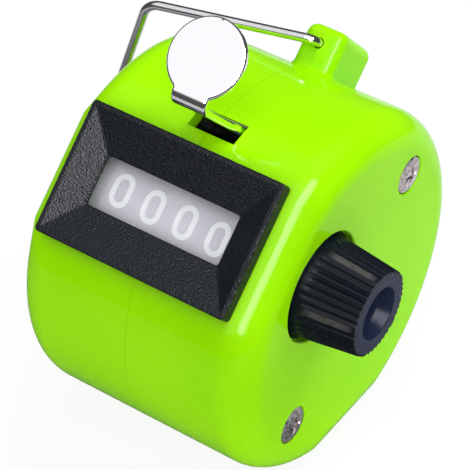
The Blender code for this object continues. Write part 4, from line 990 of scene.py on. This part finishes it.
def case_screws(material):
    """Two domed screws with a cross in the head, each with its shank."""
    low, r = SCREW_TOP_X - SCREW_HEAD_HEIGHT, SCREW_HEAD_RADIUS
    half, wide = CROSS_LENGTH / 2, CROSS_WIDTH / 2
    cross = [(half, -wide), (half, wide), (wide, wide), (wide, half), (-wide, half), (-wide, wide),
             (-half, wide), (-half, -wide), (-wide, -wide), (-wide, -half), (wide, -half), (wide, -wide)]
    narrow = [(n * CROSS_NARROWING, b * CROSS_NARROWING) for n, b in cross]
    profile = [(SCREW_END_X, SCREW_RADIUS), (low, SCREW_RADIUS), (low, r), (SCREW_TOP_X - SCREW_EDGE, r)]
    profile += [(SCREW_TOP_X + SCREW_DOME * sin(a), r * cos(a)) for a in QUARTER[:-1]]
    turn = Matrix.Rotation(CROSS_TURN, 4, "X")
    for name, sign in (("case_screw_upper", -1), ("case_screw_lower", 1)):
        recess = loft([[(SCREW_TOP_X - CROSS_DEPTH, n, b) for n, b in narrow],
                       [(SCREW_TOP_X + SCREW_DOME + 0.2, n, b) for n, b in cross]])
        screw = eased(shaped(f"{name}_head", rod(profile, (0, 0)), (), [recess]), 0.05)
        screw.data.transform(Matrix.Translation((0, SCREW_N, sign * SCREW_B)) @ turn)
        dressed(screw, material, "housing", name)


def wire_along(name, path, radius, sides, material):
    """A round wire that follows a path."""
    curve = bpy.data.curves.new(name, "CURVE")
    curve.dimensions = "3D"
    line = curve.splines.new("POLY")
    line.points.add(len(path) - 1)
    for point, place in zip(line.points, path):
        point.co = (*place, 1)
    holder = linked(f"{name}_path", curve)
    recipe = Recipe("wire_along_path", "Radius", "NodeSocketFloat")
    source = recipe.node("GeometryNodeObjectInfo", Object=holder)["Geometry"]
    circle = recipe.node("GeometryNodeCurvePrimitiveCircle", Resolution=sides, Radius=recipe.given)["Curve"]
    skin = recipe.node("GeometryNodeCurveToMesh", Curve=source, Profile_Curve=circle, Fill_Caps=True)["Mesh"]
    plain = recipe.node("GeometryNodeRealizeInstances", Geometry=skin)["Geometry"]
    piece = recipe.piece(name, plain, material, radius)
    bpy.data.objects.remove(holder)
    return piece


def finger_loop(material):
    wire = wire_along("loop_wire", rounded_path(LOOP_CORNERS, LOOP_BENDS), WIRE_RADIUS, WIRE_SIDES, material)
    dressed(wire, material, "finger_loop", "finger_loop", radians(50))


# Surroundings

def studio():
    """A white room. Shiny things mirror its white ceiling, and darker walls round it."""
    world = bpy.data.worlds.new("studio")
    bpy.context.scene.world = world
    world.use_nodes = True
    room = Graph(world.node_tree)
    plain = room.tree.nodes["Background"]
    join((0.95, 0.96, 1.0, 1), plain.inputs["Color"])
    join(ROOM_LIGHT, plain.inputs["Strength"])
    ways = {0: room.node("ShaderNodeTexCoord")["Generated"], 1: CEILING_WAY}
    upward = room.node("ShaderNodeVectorMath", {"operation": "DOT_PRODUCT"}, ways)["Value"]
    ceiling = room.range(upward, *CEILING_EDGE, WALL_LIGHT, 1.0)
    rays = room.node("ShaderNodeLightPath")
    camera_ray, glossy, clear = [rays[f"Is {kind} Ray"] for kind in ("Camera", "Glossy", "Transmission")]
    seen = room.node("ShaderNodeBackground", Color=(1, 1, 1, 1), Strength=glossy * ceiling + (1 - glossy))
    room.blend((camera_ray + glossy + clear).maths("MINIMUM", 1.0),
               Value(plain.outputs[0]), seen["Background"], "World Output")


def floor():
    """A pale table that keeps the shadow. It is mirrored darker just in front of the object."""
    bm = bmesh.new()
    bmesh.ops.create_grid(bm, x_segments=2, y_segments=2, size=FLOOR_HALF)
    table = as_object("table_top", bm)
    look = Finish("pale_table", (0.82, 0.82, 0.83), 0.6)
    rays = look.node("ShaderNodeLightPath")
    camera_ray, glossy = rays["Is Camera Ray"], rays["Is Glossy Ray"]
    y = look.node("ShaderNodeSeparateXYZ", Vector=look.place)["Y"]
    back = look.range(y, *FLOOR_SHADE, WALL_LIGHT, FLOOR_MIRRORED[0])
    front = look.range(y, *FLOOR_FRONT, 0.0, FLOOR_MIRRORED[1])
    glow = look.node("ShaderNodeEmission", Strength=glossy * (back + front) + (1 - glossy))["Emission"]
    look.blend((camera_ray + glossy).maths("MINIMUM", 1.0) * FLOOR_WHITE,
               Value(look.shader.outputs[0]), glow, "Material Output")
    table.data.materials.append(look.material)


def softbox(name, place, size, power, along=None, without=None):
    """A flat lamp that faces the object. Its second side runs along a given way. It can be kept
    from one kind of ray, which without names."""
    light = bpy.data.lights.new(name, "AREA")
    light.shape = "RECTANGLE"
    light.size, light.size_y = size
    light.energy = power
    holder = linked(name, light)
    holder.location = place
    if without:
        setattr(holder, without, False)
    way = (Vector(LAMP_TARGET) - Vector(place)).normalized()
    if along:
        across = Vector(along).cross(-way).normalized()
        holder.rotation_euler = Matrix((across, (-way).cross(across), -way)).transposed().to_euler()
    else:
        holder.rotation_euler = way.to_track_quat("-Z", "Y").to_euler()


def camera():
    data = bpy.data.cameras.new("camera")
    data.lens = LENS_MM
    data.sensor_width = SENSOR_MM
    data.clip_start = 0.01
    holder = linked("camera", data)
    holder.location = CAMERA_PLACE
    holder.rotation_euler = Vector(CAMERA_VIEW).to_track_quat("-Z", "Y").to_euler()
    bpy.context.scene.camera = holder


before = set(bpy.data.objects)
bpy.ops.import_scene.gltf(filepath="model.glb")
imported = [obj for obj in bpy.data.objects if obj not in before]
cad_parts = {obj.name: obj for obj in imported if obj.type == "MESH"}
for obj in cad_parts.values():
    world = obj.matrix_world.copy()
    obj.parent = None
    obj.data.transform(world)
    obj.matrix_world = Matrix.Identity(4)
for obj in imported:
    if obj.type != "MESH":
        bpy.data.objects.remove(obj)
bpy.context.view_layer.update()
bpy.context.scene.view_settings.view_transform = "Standard"

wheel_plastic = wheel_grey()
steel = brushed("plain_steel", (0.55, 0.55, 0.56), 0.32)
pinion_white = moulded("pinion_white_plastic", (0.75, 0.75, 0.71), 0.45)
spring_steel = polished("spring_steel", (0.42, 0.42, 0.43), 0.25)
node_finishes = {f"{name}_wheel": wheel_plastic for name in WHEEL_NAMES}
node_finishes["window_lens"] = clear_pane()
node_finishes["ratchet_wheel"] = brushed("stamped_brass", (0.70, 0.50, 0.20), 0.3)
for name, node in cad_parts.items():
    if name.endswith("_pinion"):
        look = pinion_white
    elif name.endswith("_spring"):
        look = spring_steel
    else:
        look = node_finishes.get(name, steel)
    node.data.materials.clear()
    node.data.materials.append(look)

green = green_plastic()
left_housing(green)
right_housing(green)
window_frame(grained_black())
number_wheels(wheel_plastic, digit_white())
left_blind(wheel_plastic)
thumb_lever(polished("bright_chrome", (0.96, 0.95, 0.98), 0.07))
reset_knob(knob_black())
case_screws(screw_nickel())
finger_loop(polished("bright_wire", (0.72, 0.72, 0.75), 0.12))

studio()
floor()
softbox("front", (0.09, -0.465, 0.61), (0.7, 0.7), 3.0)
softbox("overhead", (0.13, 0.29, 0.6), (0.5, 0.5), 3.7, without="visible_glossy")
softbox("side", (0.6, -0.1, 0.25), (0.4, 0.4), 0.8, without="visible_glossy")
softbox("strip", (0.36, -0.23, 0.49), (0.24, 0.7), 14.0, (0, -0.737, -0.676), "visible_diffuse")
camera()

bpy.context.view_layer.update()
